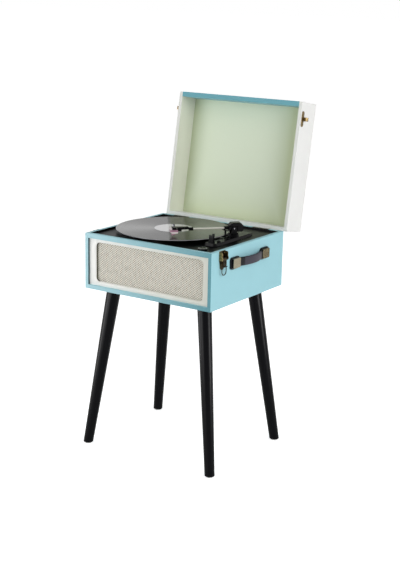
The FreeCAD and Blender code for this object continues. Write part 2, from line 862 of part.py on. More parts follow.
def headshell():
    """Collar and tapered shell with a hollow underside, a heel behind the cartridge and a finger lift."""
    collar_back = -tube_front + collar_length / 2
    shell_back = collar_back - collar_length
    front = shell_back - shell_length
    collar = cylinder_along(Y, collar_radius, collar_length, V(0, shell_back, 0))
    rear, nose = shell_rear_width / 2, shell_front_width / 2
    outline = [V(-rear, shell_back, 0), V(rear, shell_back, 0), V(nose, front + nose, 0),
               V(nose, front, 0), V(-nose, front, 0), V(-nose, front + nose, 0)]
    shell = Part.Face(Part.makePolygon(outline + outline[:1])).extrude(V(0, 0, shell_thickness))
    shell = shell.makeFillet(shell_edge_round, edges_on_plane(shell, Z, shell_thickness))
    heel_front = front - cartridge_overhang + cartridge_length + body_clearance
    room = block(-cartridge_width / 2 - body_clearance, cartridge_width / 2 + body_clearance,
                 front - cartridge_overhang - body_clearance, heel_front, -overrun,
                 shell_thickness - shell_web)
    heel = block(-rear, rear, heel_front, heel_front + shell_heel_length, -shell_heel_drop,
                 shell_thickness - shell_web)
    lift = block(0, nose + finger_lift_length, front + nose, front + nose + finger_lift_width,
                 shell_thickness - shell_web, shell_thickness - shell_web + finger_lift_thickness)
    shape = collar.fuse(shell).fuse(heel).fuse(lift).cut(room)
    shape = shape.cut(cylinder_along(Y, tube_radius, collar_length / 2 + overrun, V(0, -tube_front, 0)))
    return on_arm(shape.removeSplitter())


def shell_front():
    """The front end of the headshell, in front of the swing axis."""
    return -tube_front - collar_length / 2 - shell_length


def cartridge():
    """The pick-up body under the shell, its nose cut back towards the stylus."""
    front = shell_front() - cartridge_overhang
    top = shell_thickness - shell_web
    low = top - cartridge_height - shell_web
    side = [V(0, front, top), V(0, front + cartridge_length, top), V(0, front + cartridge_length, low),
            V(0, front + cartridge_nose, low), V(0, front, low + cartridge_nose_rise)]
    body = Part.Face(Part.makePolygon(side + side[:1])).extrude(V(cartridge_width, 0, 0))
    body.translate(V(-cartridge_width / 2, 0, 0))
    return on_arm(body)


def stylus():
    """The replaceable stylus holder under the cartridge, with its tip over the groove."""
    front = shell_front() - cartridge_overhang
    head = shell_thickness - shell_web - cartridge_height - shell_web
    tip = stylus_clearance - arm_over_record
    holder = block(-stylus_width / 2, stylus_width / 2, front + cartridge_nose,
                   front + cartridge_nose + stylus_length, head - stylus_height, head)
    needle = Part.makeCone(stylus_tip_radius, stylus_needle_radius, head - tip,
                           V(0, front + cartridge_nose + stylus_needle_setback, tip))
    return on_arm(holder.fuse(needle).removeSplitter())


def cue_lift():
    """A curved bar under the tube, on a stem that slides in the base."""
    top = arm_z - tube_radius - body_clearance
    foot = top - lift_bar_thickness
    sweep = -arm_swing_deg - arm_inward_deg + 2 * lift_bar_margin_deg
    inner, outer = lift_bar_radius - lift_bar_width / 2, lift_bar_radius + lift_bar_width / 2
    bar = revolved([(inner, 0), (outer, 0), (outer, lift_bar_thickness), (inner, lift_bar_thickness)], sweep)
    bar.rotate(V(0, 0, 0), Z, -90 + arm_swing_deg + arm_inward_deg - lift_bar_margin_deg)
    bar.translate(V(arm_x, arm_y, foot))
    x, y = lift_stem_place()
    stem_foot = base_top - lift_stem_depth
    stem = cylinder_along(Z, lift_stem_radius, foot - stem_foot, V(x, y, stem_foot))
    return bar.fuse(stem).removeSplitter()


def cue_lever():
    """Hub, pin ends, arm and thumb pad of the cueing lever."""
    left = arm_x + cue_offset
    y, z = arm_y - cue_ahead, base_top + cue_pin_height
    hub = cylinder_along(X, cue_hub_radius, cue_hub_width, V(left, y, z))
    play = body_clearance + cue_ear_thickness
    pin = cylinder_along(X, cue_pin_radius, cue_hub_width + 2 * play, V(left - play, y, z))
    middle = left + cue_hub_width / 2
    half = cue_arm_thickness / 2
    arm = block(middle - half, middle + half, y - cue_arm_length, y, z, z + cue_arm_thickness)
    pad = rounded_slab(cue_pad_width, cue_pad_length, cue_pad_round, cue_arm_thickness)
    pad = placed(pad, middle, y - cue_arm_length, z + half)
    return hub.fuse(pin).fuse(arm).fuse(pad).removeSplitter()


def speed_switch():
    """A ridged slider on a stem in the base's slot."""
    x, y = switch_place()
    foot = base_top + end_clearance
    cap = drafted_slab(switch_width, switch_length, switch_corner_radius, switch_height, switch_draft)
    half = switch_stem_width / 2
    stem = block(x - half, x + half, y - half, y + half, base_top - switch_stem_depth, foot + switch_draft)
    shape = placed(cap, x, y, foot).fuse(stem)
    for step in (-1, 0, 1):
        across = y + step * switch_groove_pitch
        near, far = across - switch_groove_width / 2, across + switch_groove_width / 2
        groove = block(x - switch_width, x + switch_width, near, far,
                       foot + switch_height - switch_groove_depth, foot + switch_height + overrun)
        shape = shape.cut(groove)
    return shape.removeSplitter()


def knob_place():
    return half_width - knob_from_side, -half_depth + knob_from_front


def volume_knob():
    """A low turned knob with a dished top, on its shaft."""
    foot = deck_top + body_clearance
    head = foot + knob_height
    shaft_foot = foot - knob_shaft_length
    profile = [
        (0, shaft_foot), (knob_shaft_radius, shaft_foot), (knob_shaft_radius, foot), (knob_radius, foot),
        (knob_radius - knob_draft, head - knob_bevel), (knob_radius - knob_draft - knob_bevel, head),
        (knob_dish_radius, head), (knob_dish_radius - knob_dish_depth, head - knob_dish_depth),
        (0, head - knob_dish_depth)]
    x, y = knob_place()
    return placed(revolved(profile), x, y, 0)


def volume_pot():
    """The control under the deck: a square body and a bush through the deck."""
    x, y = knob_place()
    half = pot_size / 2
    body = block(x - half, x + half, y - half, y + half, deck_bottom - pot_height, deck_bottom)
    bush = cylinder_along(Z, pot_bush_radius, deck_thickness, V(x, y, deck_bottom))
    bore_foot = deck_top - knob_shaft_length
    bore = cylinder_along(Z, knob_shaft_radius + running_clearance, knob_shaft_length + overrun,
                          V(x, y, bore_foot))
    return body.fuse(bush).cut(bore).removeSplitter()


def circuit_board():
    """The amplifier board on four stand-offs, with two capacitors and a heat sink."""
    rear = inner_rear - board_rear_gap
    front = rear - board_depth
    half = board_length / 2
    level = inside_floor + board_standoff
    head = level + board_thickness
    shape = block(-half, half, front, rear, level, head)
    for side in SIDES:
        for y in (front + board_margin, rear - board_margin):
            start = V(side * (half - board_margin), y, inside_floor)
            shape = shape.fuse(cylinder_along(Z, board_standoff_radius, board_standoff, start))
        place = V(side * capacitor_spacing / 2, front + capacitor_inset, head)
        shape = shape.fuse(cylinder_along(Z, capacitor_radius, capacitor_height, place))
    sink = block(-heatsink_length / 2, heatsink_length / 2, rear - board_margin - heatsink_thickness,
                 rear - board_margin, head, head + heatsink_height)
    return shape.fuse(sink).removeSplitter()


def jack_places():
    return [-jack_from_centre + side * jack_spacing / 2 for side in SIDES]


def rear_cylinder(radius, length, x, y):
    """A cylinder along Y at the height of the rear sockets."""
    return cylinder_along(Y, radius, length, V(x, y, case_bottom + jack_height))


def line_out_jacks():
    """Two phono sockets in the rear panel."""
    jacks = []
    for x in jack_places():
        body = rear_cylinder(jack_body_radius, case_wall + jack_tail, x, inner_rear - jack_tail)
        flange = rear_cylinder(jack_flange_radius, jack_flange_thickness, x, half_depth)
        sleeve_start = half_depth + jack_flange_thickness
        sleeve = rear_cylinder(jack_sleeve_radius, jack_sleeve_length, x, sleeve_start)
        bore = rear_cylinder(jack_bore_radius, jack_sleeve_length + overrun, x, sleeve_start)
        jacks.append(body.fuse(flange).fuse(sleeve).cut(bore).removeSplitter())
    return Part.makeCompound(jacks)


def power_inlet():
    """A round low-voltage inlet with its centre pin."""
    x = inlet_from_centre
    outer = half_depth + jack_flange_thickness
    barrel = rear_cylinder(inlet_barrel_radius, case_wall + jack_tail, x, inner_rear - jack_tail)
    flange = rear_cylinder(inlet_flange_radius, jack_flange_thickness, x, half_depth)
    bore = rear_cylinder(inlet_bore_radius, inlet_bore_depth + overrun, x, outer - inlet_bore_depth)
    pin = rear_cylinder(inlet_pin_radius, inlet_bore_depth, x, outer - inlet_bore_depth)
    return barrel.fuse(flange).cut(bore).fuse(pin).removeSplitter()


def lid_side(side):
    """A full-depth side wall of the lid with its outer edges rounded off."""
    inner = half_width - lid_wall
    panel = block(inner, half_width, -half_depth, half_depth, lid_rim, lid_top)
    panel = panel.makeFillet(lid_edge_round, edges_on_plane(panel, X, half_width))
    return opened(panel if side > 0 else mirrored(panel))


def lid_front():
    inner = half_width - lid_wall
    return opened(block(-inner, inner, -half_depth, -half_depth + lid_front_thickness, lid_rim, lid_top))


def lid_rear():
    inner = half_width - lid_wall
    return opened(block(-inner, inner, half_depth - lid_wall, half_depth, lid_rim, lid_top))


def lid_top_panel():
    inner = half_width - lid_wall
    front = -half_depth + lid_front_thickness
    return opened(block(-inner, inner, front, half_depth - lid_wall, lid_inner_top, lid_top))


def lid_lining():
    inner = half_width - lid_wall
    front = -half_depth + lid_front_thickness
    return opened(block(-inner, inner, front, half_depth - lid_wall,
                        lid_inner_top - lid_lining_thickness, lid_inner_top))


def hinge_lefts():
    """The left end of each hinge."""
    return [side * hinge_spacing / 2 - hinge_width / 2 for side in SIDES]


def knuckle(left, right, bore_radius):
    """A stretch of hinge barrel with its pin hole."""
    barrel = cylinder_along(X, hinge_knuckle_radius, right - left, V(left, hinge_y, hinge_z))
    hole = cylinder_along(X, bore_radius, right - left + 2 * overrun, V(left - overrun, hinge_y, hinge_z))
    return barrel, hole


def outer_knuckle_width():
    return hinge_width * hinge_knuckle_share


def case_hinge_leaf(left):
    """The lower leaf: a plate on the rear of the case with two outer knuckles."""
    leaf = rounded_slab(hinge_width, hinge_leaf_length, hinge_leaf_round, hinge_leaf_thickness)
    leaf = placed(leaf, left + hinge_width / 2, half_depth, hinge_z - hinge_leaf_length / 2, -X, Z, Y)
    for start in (left, left + hinge_width - outer_knuckle_width()):
        end = start + outer_knuckle_width()
        barrel, hole = knuckle(start, end, hinge_pin_radius)
        neck = block(start, end, half_depth, hinge_y, hinge_z - hinge_knuckle_radius, hinge_z)
        leaf = leaf.fuse(neck).fuse(barrel).cut(hole)
    return leaf.removeSplitter()


def lid_hinge_leaf(left):
    """The upper leaf: a cranked plate on the rear of the lid with the middle knuckle."""
    foot = lid_rim + hinge_leaf_thickness
    leaf = rounded_slab(hinge_width, hinge_leaf_length, hinge_leaf_round, hinge_leaf_thickness)
    leaf = placed(leaf, left + hinge_width / 2, half_depth, foot + hinge_leaf_length / 2, -X, Z, Y)
    start = left + outer_knuckle_width() + hinge_knuckle_gap
    end = left + hinge_width - outer_knuckle_width() - hinge_knuckle_gap
    barrel, hole = knuckle(start, end, hinge_pin_radius + running_clearance)
    step = foot + hinge_shelf_thickness
    arm = block(start, end, hinge_y - hinge_leaf_thickness, hinge_y + hinge_leaf_thickness, hinge_z, step)
    shelf = block(start, end, half_depth, hinge_y + hinge_leaf_thickness, foot, step)
    return opened(leaf.fuse(shelf).fuse(arm).fuse(barrel).cut(hole).removeSplitter())


def hinge_pins():
    starts = [V(left, hinge_y, hinge_z) for left in hinge_lefts()]
    return Part.makeCompound([cylinder_along(X, hinge_pin_radius, hinge_width, start) for start in starts])


def latch_plate():
    """The right-hand latch plate: a shield with two side flanges, whose ears carry the rivet."""
    top, foot = case_top, case_top - latch_length
    half, narrow = latch_width / 2, latch_foot_width / 2
    shoulder = latch_pin_z - latch_ear_radius
    points = [V(0, -half, top), V(0, half, top), V(0, half, shoulder), V(0, narrow, foot + narrow)]
    low = Part.Arc(points[3], V(0, 0, foot), V(0, -narrow, foot + narrow)).toShape()
    last = [V(0, -narrow, foot + narrow), V(0, -half, shoulder), V(0, -half, top)]
    edges = Part.makePolygon(points).Edges + [low] + Part.makePolygon(last).Edges
    plate = Part.Face(Part.Wire(edges)).extrude(V(latch_thickness, 0, 0))
    plate.translate(V(half_width, latch_y, 0))
    for side in SIDES:
        edge = latch_y + side * (half - latch_ear_thickness / 2)
        near, far = edge - latch_ear_thickness / 2, edge + latch_ear_thickness / 2
        ear = cylinder_along(Y, latch_ear_radius, latch_ear_thickness, V(latch_pin_x, near, latch_pin_z))
        outer, head = half_width + latch_flange_depth, top - latch_flange_drop
        flange = block(half_width, outer, near, far, shoulder, head)
        corner = [e for e in edges_on_plane(flange, X, outer) if e.CenterOfMass.z > head - same_place]
        plate = plate.fuse(ear).fuse(flange.makeFillet(latch_flange_round, corner))
    rivet = cylinder_along(Y, latch_pin_radius, latch_width, V(latch_pin_x, latch_y - half, latch_pin_z))
    return Part.makeCompound([plate.cut(rivet).removeSplitter(), rivet])


def latch_lever():
    """The right-hand toggle lever: a slotted web with folded flanges, a hub and a finger lip."""
    half = lever_width / 2
    x, y, z = latch_pin_x, latch_y, latch_pin_z
    outer = x + lever_hub_radius
    web_back = outer - lever_thickness
    foot = z - lever_length
    hub = cylinder_along(Y, lever_hub_radius, lever_width, V(x, y - half, z))
    shape = hub.fuse(block(web_back, outer, y - half, y + half, foot, z))
    for side in SIDES:
        edge = y + side * (half - lever_thickness / 2)
        near, far = edge - lever_thickness / 2, edge + lever_thickness / 2
        flange = block(outer - lever_flange_depth, outer, near, far, z - lever_flange_length, z)
        shape = shape.fuse(flange)
    lip = block(web_back, outer + lever_lip, y - half, y + half, foot, foot + lever_thickness)
    slot = rounded_slab(lever_slot_width, lever_slot_length, lever_slot_width / 2 - same_place,
                        lever_thickness + 2 * overrun)
    slot_middle = z - lever_hub_radius - lever_slot_length / 2 - lever_thickness
    shape = shape.fuse(lip).cut(placed(slot, outer - lever_thickness, y, slot_middle, Y, Z, X))
    bore = cylinder_along(Y, latch_pin_radius + running_clearance, lever_width + 2 * overrun,
                          V(x, y - half - overrun, z))
    return shape.cut(bore).removeSplitter()


def latch_loop():
    """The right-hand wire loop, hanging from the latch's rivet by two eyes."""
    half = loop_width / 2
    x, y, z = latch_pin_x, latch_y, latch_pin_z
    bend = z - loop_length + half
    left, right = V(x, y - half, z), V(x, y + half, z)
    low_left, low_right = V(x, y - half, bend), V(x, y + half, bend)
    curve = Part.Arc(low_left, V(x, y, z - loop_length), low_right).toShape()
    path = Part.Wire([Part.makeLine(left, low_left), curve, Part.makeLine(low_right, right)])
    section = Part.Wire([Part.makeCircle(loop_wire_radius, left, -Z)])
    shape = path.makePipeShell([section], True, False)
    bore = latch_pin_radius + running_clearance
    for end in (left, right):
        start = end - V(0, loop_eye_width / 2, 0)
        shape = shape.fuse(cylinder_along(Y, loop_eye_radius, loop_eye_width, start))
    for end in (left, right):
        start = end - V(0, loop_eye_width / 2 + overrun, 0)
        shape = shape.cut(cylinder_along(Y, bore, loop_eye_width + 2 * overrun, start))
    return shape.removeSplitter()


def lid_catch():
    """The right-hand catch: a bar with round ends and a hook for the loop, on the closed lid."""
    bar = rounded_slab(catch_length, catch_height, catch_height / 2 - same_place, catch_thickness)
    middle = lid_rim + catch_rise + catch_height / 2
    bar = on_right_wall(bar, latch_y, middle)
    half = catch_hook_width / 2
    low = middle + catch_height / 2 - catch_hook_thickness
    foot = low + catch_hook_rise
    outer = half_width + catch_hook_out
    riser = block(half_width, half_width + catch_thickness, latch_y - half, latch_y + half, middle,
                  foot + catch_hook_thickness)
    arm = block(half_width, outer, latch_y - half, latch_y + half, foot, foot + catch_hook_thickness)
    lip = block(outer - catch_hook_thickness, outer, latch_y - half, latch_y + half,
                foot, foot + catch_hook_thickness + catch_hook_lip)
    return bar.fuse(riser).fuse(arm).fuse(lip).removeSplitter()


def both_sides(piece):
    return Part.makeCompound([mirrored(piece), piece])


def handle_mount_places():
    return [side * (handle_reach - handle_mount_length / 2) for side in SIDES]


def handle_mounts():
    """Two padded leather tabs that the strap's ends lie on."""
    tab = rounded_slab(handle_mount_length, handle_mount_height, handle_mount_round, handle_mount_thickness)
    return Part.makeCompound([on_right_wall(tab, y, handle_z) for y in handle_mount_places()])


def handle_strap():
    """A thick strap, flat on its two mounts and bowed out between them."""
    seat = half_width + handle_mount_thickness
    face = seat + strap_thickness
    end = handle_reach - strap_end_margin
    bend = handle_reach - handle_mount_length
    bow = half_width + strap_bow
    z = handle_z - strap_width / 2
    outer = Part.Arc(V(face, -bend, z), V(bow, 0, z), V(face, bend, z)).toShape()
    inner = Part.Arc(V(seat, bend, z), V(bow - strap_thickness, 0, z), V(seat, -bend, z)).toShape()
    right = Part.makePolygon([V(face, bend, z), V(face, end, z), V(seat, end, z), V(seat, bend, z)]).Edges
    left = Part.makePolygon([V(seat, -bend, z), V(seat, -end, z), V(face, -end, z), V(face, -bend, z)]).Edges
    return Part.Face(Part.Wire([outer] + right + [inner] + left)).extrude(V(0, 0, strap_width))


def handle_end_caps():
    """Two folded metal caps that hold the strap's ends down on the mounts."""
    caps = []
    room = strap_width / 2 + cap_clearance
    height = 2 * (room + cap_thickness)
    depth = strap_thickness + cap_thickness
    middle = handle_reach - strap_end_margin + cap_overhang - cap_length / 2
    for y in (-middle, middle):
        cap = rounded_slab(cap_length, height, cap_round, depth)
        cap = cap.cut(block(-cap_length, cap_length, -room, room, -overrun, strap_thickness))
        caps.append(on_right_wall(cap, y, handle_z, handle_mount_thickness))
    return Part.makeCompound(caps)


def leg(side, end):
    """A tapered leg, splayed outwards, cut level under its plate and over its foot pad."""
    foot = V(side * foot_x, end * foot_y, 0)
    top = V(side * leg_top_x, end * leg_top_y, case_bottom)
    along = top - foot
    length = along.Length
    along.normalize()
    spread = (leg_top_radius - leg_foot_radius) / length
    start = foot - along * overrun
    cone = Part.makeCone(leg_foot_radius - spread * overrun, leg_top_radius + spread * overrun,
                         length + 2 * overrun, start, along)
    room = case_width
    return cone.common(block(foot.x - room, foot.x + room, foot.y - room, foot.y + room, pad_height, leg_top))


def at_each_leg():
    return [(side, end) for end in SIDES for side in SIDES]


def foot_pads():
    """A glide under each leg, bevelled round its foot."""
    pads = []
    for side, end in at_each_leg():
        share = pad_height / case_bottom
        x = side * (foot_x + (leg_top_x - foot_x) * share)
        y = end * (foot_y + (leg_top_y - foot_y) * share)
        pad = cylinder_along(Z, pad_radius, pad_height, V(x, y, 0))
        pads.append(pad.makeChamfer(pad_bevel, edges_on_plane(pad, Z, 0)))
    return Part.makeCompound(pads)


def leg_plates():
    """The square fixing plates between the legs and the case."""
    share = leg_top / case_bottom
    plates = []
    for side, end in at_each_leg():
        x = side * (foot_x + (leg_top_x - foot_x) * share)
        y = end * (foot_y + (leg_top_y - foot_y) * share)
        plate = rounded_slab(leg_plate_size, leg_plate_size, leg_plate_round, leg_plate_thickness)
        plates.append(placed(plate, x, y, leg_top))
    return Part.makeCompound(plates)


def main():
    os.makedirs("parts", exist_ok=True)
    names = {-1: "left", 1: "right"}
    ends = {-1: "front", 1: "rear"}
    for side in SIDES:
        save("case_" + names[side] + "_side", case_side(side))
        save("lid_" + names[side] + "_side", lid_side(side))
    for side, end in at_each_leg():
        save(ends[end] + "_" + names[side] + "_leg", leg(side, end))
    for name, piece in (("latch_lever", latch_lever()), ("latch_loop", latch_loop())):
        save("right_" + name, piece)
        save("left_" + name, mirrored(piece))
    plate = latch_plate()
    pieces = {
        "case_bottom": case_bottom_panel(), "case_rear": case_rear_panel(), "front_rail": front_rail(),
        "grille_panel": grille_panel(), "grille_cloth": grille_cloth(), "baffle_board": baffle_board(),
        "speaker_frames": pair_of_speakers(speaker_frame()),
        "speaker_cones": pair_of_speakers(speaker_cone()), "deck_plate": deck_plate(),
        "bearing_bush": bearing_bush(), "spindle": spindle(), "platter": platter(),
        "platter_mat": platter_mat(), "record": record(), "record_label": record_labels(),
        "motor": motor(), "motor_pulley": motor_pulley(), "drive_belt": drive_belt(),
        "tonearm_base": tonearm_base(), "tonearm_turret": turret(), "arm_lift_pin": lift_pin(),
        "tonearm_tube": tube(), "arm_rear_block": arm_rear_block(), "headshell": headshell(),
        "cartridge": cartridge(), "stylus": stylus(), "cue_lift": cue_lift(), "cue_lever": cue_lever(),
        "speed_switch": speed_switch(), "volume_knob": volume_knob(), "volume_pot": volume_pot(),
        "circuit_board": circuit_board(), "line_out_jacks": line_out_jacks(), "power_inlet": power_inlet(),
        "lid_front_rail": lid_front(), "lid_rear_rail": lid_rear(), "lid_top_panel": lid_top_panel(),
        "lid_lining": lid_lining(), "lid_catches": opened(both_sides(lid_catch())),
        "case_hinge_leaves": Part.makeCompound([case_hinge_leaf(left) for left in hinge_lefts()]),
        "lid_hinge_leaves": Part.makeCompound([lid_hinge_leaf(left) for left in hinge_lefts()]),
        "hinge_pins": hinge_pins(), "latch_plates": Part.makeCompound([mirrored(plate), plate]),
        "handle_mounts": handle_mounts(), "handle_strap": handle_strap(),
        "handle_end_caps": handle_end_caps(), "leg_plates": leg_plates(), "foot_pads": foot_pads()}
    for node, shape in pieces.items():
        save(node, shape)


main()
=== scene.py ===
import math

import bmesh
import bpy
from bpy.props import FloatProperty, FloatVectorProperty, IntProperty, PointerProperty
from mathutils import Matrix, Vector


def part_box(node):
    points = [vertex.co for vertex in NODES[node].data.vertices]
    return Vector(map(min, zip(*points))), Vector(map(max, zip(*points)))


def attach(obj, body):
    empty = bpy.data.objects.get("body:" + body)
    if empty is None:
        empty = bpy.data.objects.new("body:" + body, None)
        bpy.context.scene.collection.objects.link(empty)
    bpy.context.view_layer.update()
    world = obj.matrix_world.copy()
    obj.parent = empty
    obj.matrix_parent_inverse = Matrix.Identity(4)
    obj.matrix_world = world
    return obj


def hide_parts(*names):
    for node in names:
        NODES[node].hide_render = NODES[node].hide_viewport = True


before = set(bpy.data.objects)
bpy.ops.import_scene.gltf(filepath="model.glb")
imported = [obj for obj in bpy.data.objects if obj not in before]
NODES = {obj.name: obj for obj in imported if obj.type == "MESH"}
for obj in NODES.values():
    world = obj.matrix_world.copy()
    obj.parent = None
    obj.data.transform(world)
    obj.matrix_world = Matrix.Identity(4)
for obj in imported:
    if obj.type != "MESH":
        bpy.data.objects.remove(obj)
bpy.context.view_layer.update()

bl_info = {
    "name": "Suitcase Record Player",
    "version": (1, 0, 0),
    "blender": (4, 5, 0),
    "location": "View3D > Sidebar > Record Player",
    "description": "Finishes a suitcase record player on legs: wraps, cloth, metal and record",
    "category": "Object",
}

MM = 0.001
LEGS = ("front_left_leg", "front_right_leg", "rear_left_leg", "rear_right_leg")
UP, BACK, RIGHT = Vector((0, 0, 1)), Vector((0, 1, 0)), Vector((1, 0, 0))

# Which faces of a solid a finish goes on
FACING = 0.9                    # cosine above which a face looks along an axis
SIDEWAYS = 1 - FACING           # cosine under which a face looks across an axis
LOOKS_UP = 0.5                  # cosine above which a face belongs to the knob's top
RIM_FROM = 0.9                  # share of the record's radius at which its rim begins
WINDOW = (0.25, 0.65)           # shares of the cartridge's height that its window spans

# Sizes of the solids that their boxes don't give
MOUNT_LENGTH = 40 * MM          # one leather mount of the handle
CAP_SHEET = 1 * MM              # sheet of the handle's caps
SHEET = 1.5 * MM                # sheet of latch plates and hinge leaves
HINGE_WIDTH = 50 * MM
KNOB_DISH = 9 * MM              # radius of the dish in the knob's top

# Rivets, folds and rounded edges
LATCH_RIVET_SPREAD = 8.5 * MM   # from the middle of a latch plate
LATCH_RIVET_DROP = 5 * MM       # under the plate's top
HINGE_RIVET_PITCH = 17 * MM
HINGE_RIVET_RISE = 6 * MM       # over the leaf's foot
RIVET_SIDES = 20
RIVET_PROFILE = (               # width and rise of each ring, in radii: a dome with a dimple
    (1.0, 0.0), (1.0, 0.18), (0.82, 0.42), (0.5, 0.55), (0.3, 0.5), (0.12, 0.38))
FOLD = 0.3 * MM                 # sheet of the hinges' folds on the rear edge, inside the lid's seam
FOLD_ROUND = 2 * MM             # rounding of the folds' corners
FRAME_ROUND = 1 * MM            # rounding of the wrapped edges of the grille's frame
MOUNT_ROUND = 1.2 * MM          # rounding of the handle's mounts
SHARP = math.radians(40)        # angle above which an edge is rounded

# Cloth and strap
CLOTH_BULGE = 0.25              # share of the solid's thickness by which the cloth stands out
CLOTH_COLUMNS = 3               # columns of faces for each row
STRAP_SIDES, STRAP_STEPS = 28, 72
STRAP_FULLNESS = (1.1, 2.2)     # how soon the section reaches its full width and thickness
STITCH_INSET = 3.2 * MM         # from the strap's edge
STITCH_PITCH = 1.5              # from one stitch to the next, in stitches
STITCH_SINK = 0.3               # share of the crown by which the stitches lie under the top
STITCH_SIDES = 6
STITCH_PROFILE = ((-0.5, 0.3), (-0.3, 1.0), (0.3, 1.0), (0.5, 0.3))  # place along it, radius

# Relief, grit and tone of the finishes
PEBBLE_RELIEF = 0.3 * MM
WEAVE_RELIEF = 0.5 * MM
GROOVE_RELIEF = 0.1 * MM
GRIT_RELIEF = 0.2 * MM          # of mouldings, castings, lacquer and paper
GRIT_GLOSS = (0.85, 1.15)       # shares of the roughness between which a grit varies
PAPER_FIBRE = 1.5 * MM
PAINTED_SHADE_EDGE = 0.1 * MM           # over which the wrap gives way to black painted shade
TONE_DRIFTS = 14.0              # slow changes of tone in a metre of leathercloth
TONE_SPAN = (0.96, 1.03)        # shares of the colour between which they run

# The white room, where a level of 1 is white
ROOM_LIGHT = 0.5                # falls on the object
ROOM_SEEN = 1.0                 # seen by the camera, and in reflections at the horizon
CEILING_SEEN = 0.12             # seen in reflections overhead
CEILING_RISE = (0.3, 0.6)       # sines of the heights between which reflections darken
FLOOR_GLOW = 0.52               # brings the lit floor up to white where it is seen
FLOOR_REACH = 30.0              # metres
LAMP_AIM = Vector((0, 0, 0.55))

# Lamps: name, place in metres, watts, width, height, lights surfaces, shows in reflections
LAMPS = (
    ("key", (2.6, -0.7, 1.6), 45, 1.8, 1.8, True, False),
    ("fill", (-0.75, -1.2, 1.0), 8.5, 1.0, 1.0, True, True),
    ("card", (-0.7, -1.75, 0.46), 42, 1.4, 0.9, False, True),
    ("right_card", (1.1, 0.12, 0.3), 9.5, 0.36, 0.4, False, True),
    ("left_card", (-0.78, -0.62, 0.25), 5, 0.28, 0.4, False, True),
    ("rear", (-0.4, 2.4, 1.2), 9, 1.4, 1.4, True, False),
)
LEG_CARDS = ("right_card", "left_card")  # light the legs alone

# The camera, fitted to the case's corners, the feet and the record
CAMERA_PLACE = (1.74685, -2.55038, 1.23024)
CAMERA_AZIMUTH = math.radians(33.655)
CAMERA_ELEVATION = math.radians(14.403)
CAMERA_ROLL = math.radians(1.144)
CAMERA_LENS, CAMERA_SENSOR = 76.84, 36.0  # millimetres
CAMERA_REACH = 100.0            # metres


def linear(code):
    """An sRGB hex colour as linear red, green, blue and alpha."""
    channels = [int(code[i:i + 2], 16) / 255 for i in (1, 3, 5)]
    return tuple(c / 12.92 if c <= 0.04045 else ((c + 0.055) / 1.055) ** 2.4
                 for c in channels) + (1.0,)


def colour(label, text, code):
    """A colour that a user can change."""
    return FloatVectorProperty(name=label, description=text, subtype="COLOR", size=4, min=0, max=1,
                               default=linear(code))


def length(label, text, millimetres):
    """A length that a user can change, in metres."""
    return FloatProperty(name=label, description=text, subtype="DISTANCE", unit="LENGTH", min=0,
                         precision=5, default=millimetres * MM)


class PlayerColours(bpy.types.PropertyGroup):
    """Colours of the finishes."""
    turquoise: colour("Case wrap", "Leathercloth round the case and the lid's front", "#95C4CD")
    turquoise_edge: colour("Turned-in edges", "Leathercloth over the case's edges", "#70ABB9")
    # Painted shade: the recess wall left of the grille is drawn dark for the shade that falls in
    # the recess
    recess_shade: colour("Recess wall", "Leathercloth in the recess, left of the grille", "#3E585D")
    # Painted sheen: the front edges run from this pale tone at the left, a sheen of light, to their
    # own deep tone at the right
    edge_left_sheen: colour("Front edges, left", "Case's front edges, at the left", "#9FC6CF")
    edge_right: colour("Front edges, right", "Case's front edges, at the right", "#4A8691")
    lid_edge: colour("Lid front edge", "Leathercloth on the lid's front edge", "#5F9DA9")
    # Painted shade: the lid's inner walls and rim are its cream leathercloth drawn in darker tones
    # for the shade they stand in
    lid_inside_shade: colour("Lid inside", "Leathercloth on the lid's inner walls", "#D3D5C6")
    lid_rim_shade: colour("Lid rim", "Leathercloth on the rim of the lid", "#D6D8D3")
    cream: colour("Lid wrap", "Leathercloth on the outside of the lid", "#E0E0DE")
    # Painted light: the grille's frame is drawn in a lit pale tone at the left and a shaded tone at
    # the right
    frame_left_lit: colour("Grille frame, left", "Grille's frame, at the left", "#E9E9E6")
    frame_right_shaded: colour("Grille frame, right", "Grille's frame, at the right", "#CDCDC3")
    lining: colour("Lining", "Paper inside the lid", "#DAE4CE")
    # Painted shade: the lining is drawn in this deeper tone near the side walls and the hinge
    lining_shade: colour("Lining edge", "Paper near the side walls and the hinge", "#C2CCAA")
    # Painted shade: the left wall of the grille's opening is drawn dark
    cut_edge_shade: colour("Cut edge", "Painted shade on the left wall of the grille's opening", "#4A4A3A")
    cloth_light: colour("Cloth threads", "Pale threads of the grille cloth", "#D8D5CA")
    cloth_dark: colour("Cloth gaps", "Dark gaps between the threads", "#6B6657")
    black: colour("Black", "Plastic, deck and black steel", "#070708")
    lacquer: colour("Lacquer", "Black lacquer of the legs", "#060609")
    vinyl: colour("Vinyl", "The record", "#12110F")
    # Painted highlight: the record's edge is drawn pale grey, a thin line of light
    vinyl_edge_highlight: colour("Vinyl edge", "Trimmed edge of the record, in the light", "#8C8C90")
    label: colour("Label", "Paper of the record's label", "#B6B4B7")
    brass: colour("Antique brass", "Hinges, latch plates and catches", "#8E7A54")
    brass_dark: colour("Brass patina", "Dark patina in the brass", "#6C5A39")
    brass_deep: colour("Blackened brass", "Levers, loops, hinge folds and deep patina", "#40351F")
    cap_brass: colour("Cap brass", "Paler brass of the handle's caps", "#98917B")
    cap_rear_shade: colour("Rear cap brass", "Painted shade on the brass of the handle's rear cap", "#7A7052")
    # Painted shade: the rear cap is the same brass as the front one, drawn darker for the strap's
    # shade and the dark it mirrors
    strap: colour("Strap", "Leather of the handle", "#3B3942")
    keeper: colour("Strap ends", "Folded leather of the strap's ends and mounts", "#17171A")
    cartridge: colour("Cartridge", "Moulding of the pick-up", "#DED3D3")
    stylus: colour("Stylus", "Stylus holder and the tinted window over it", "#A47A8D")
    pad: colour("Foot pads", "Glides under the legs", "#B9BAB8")


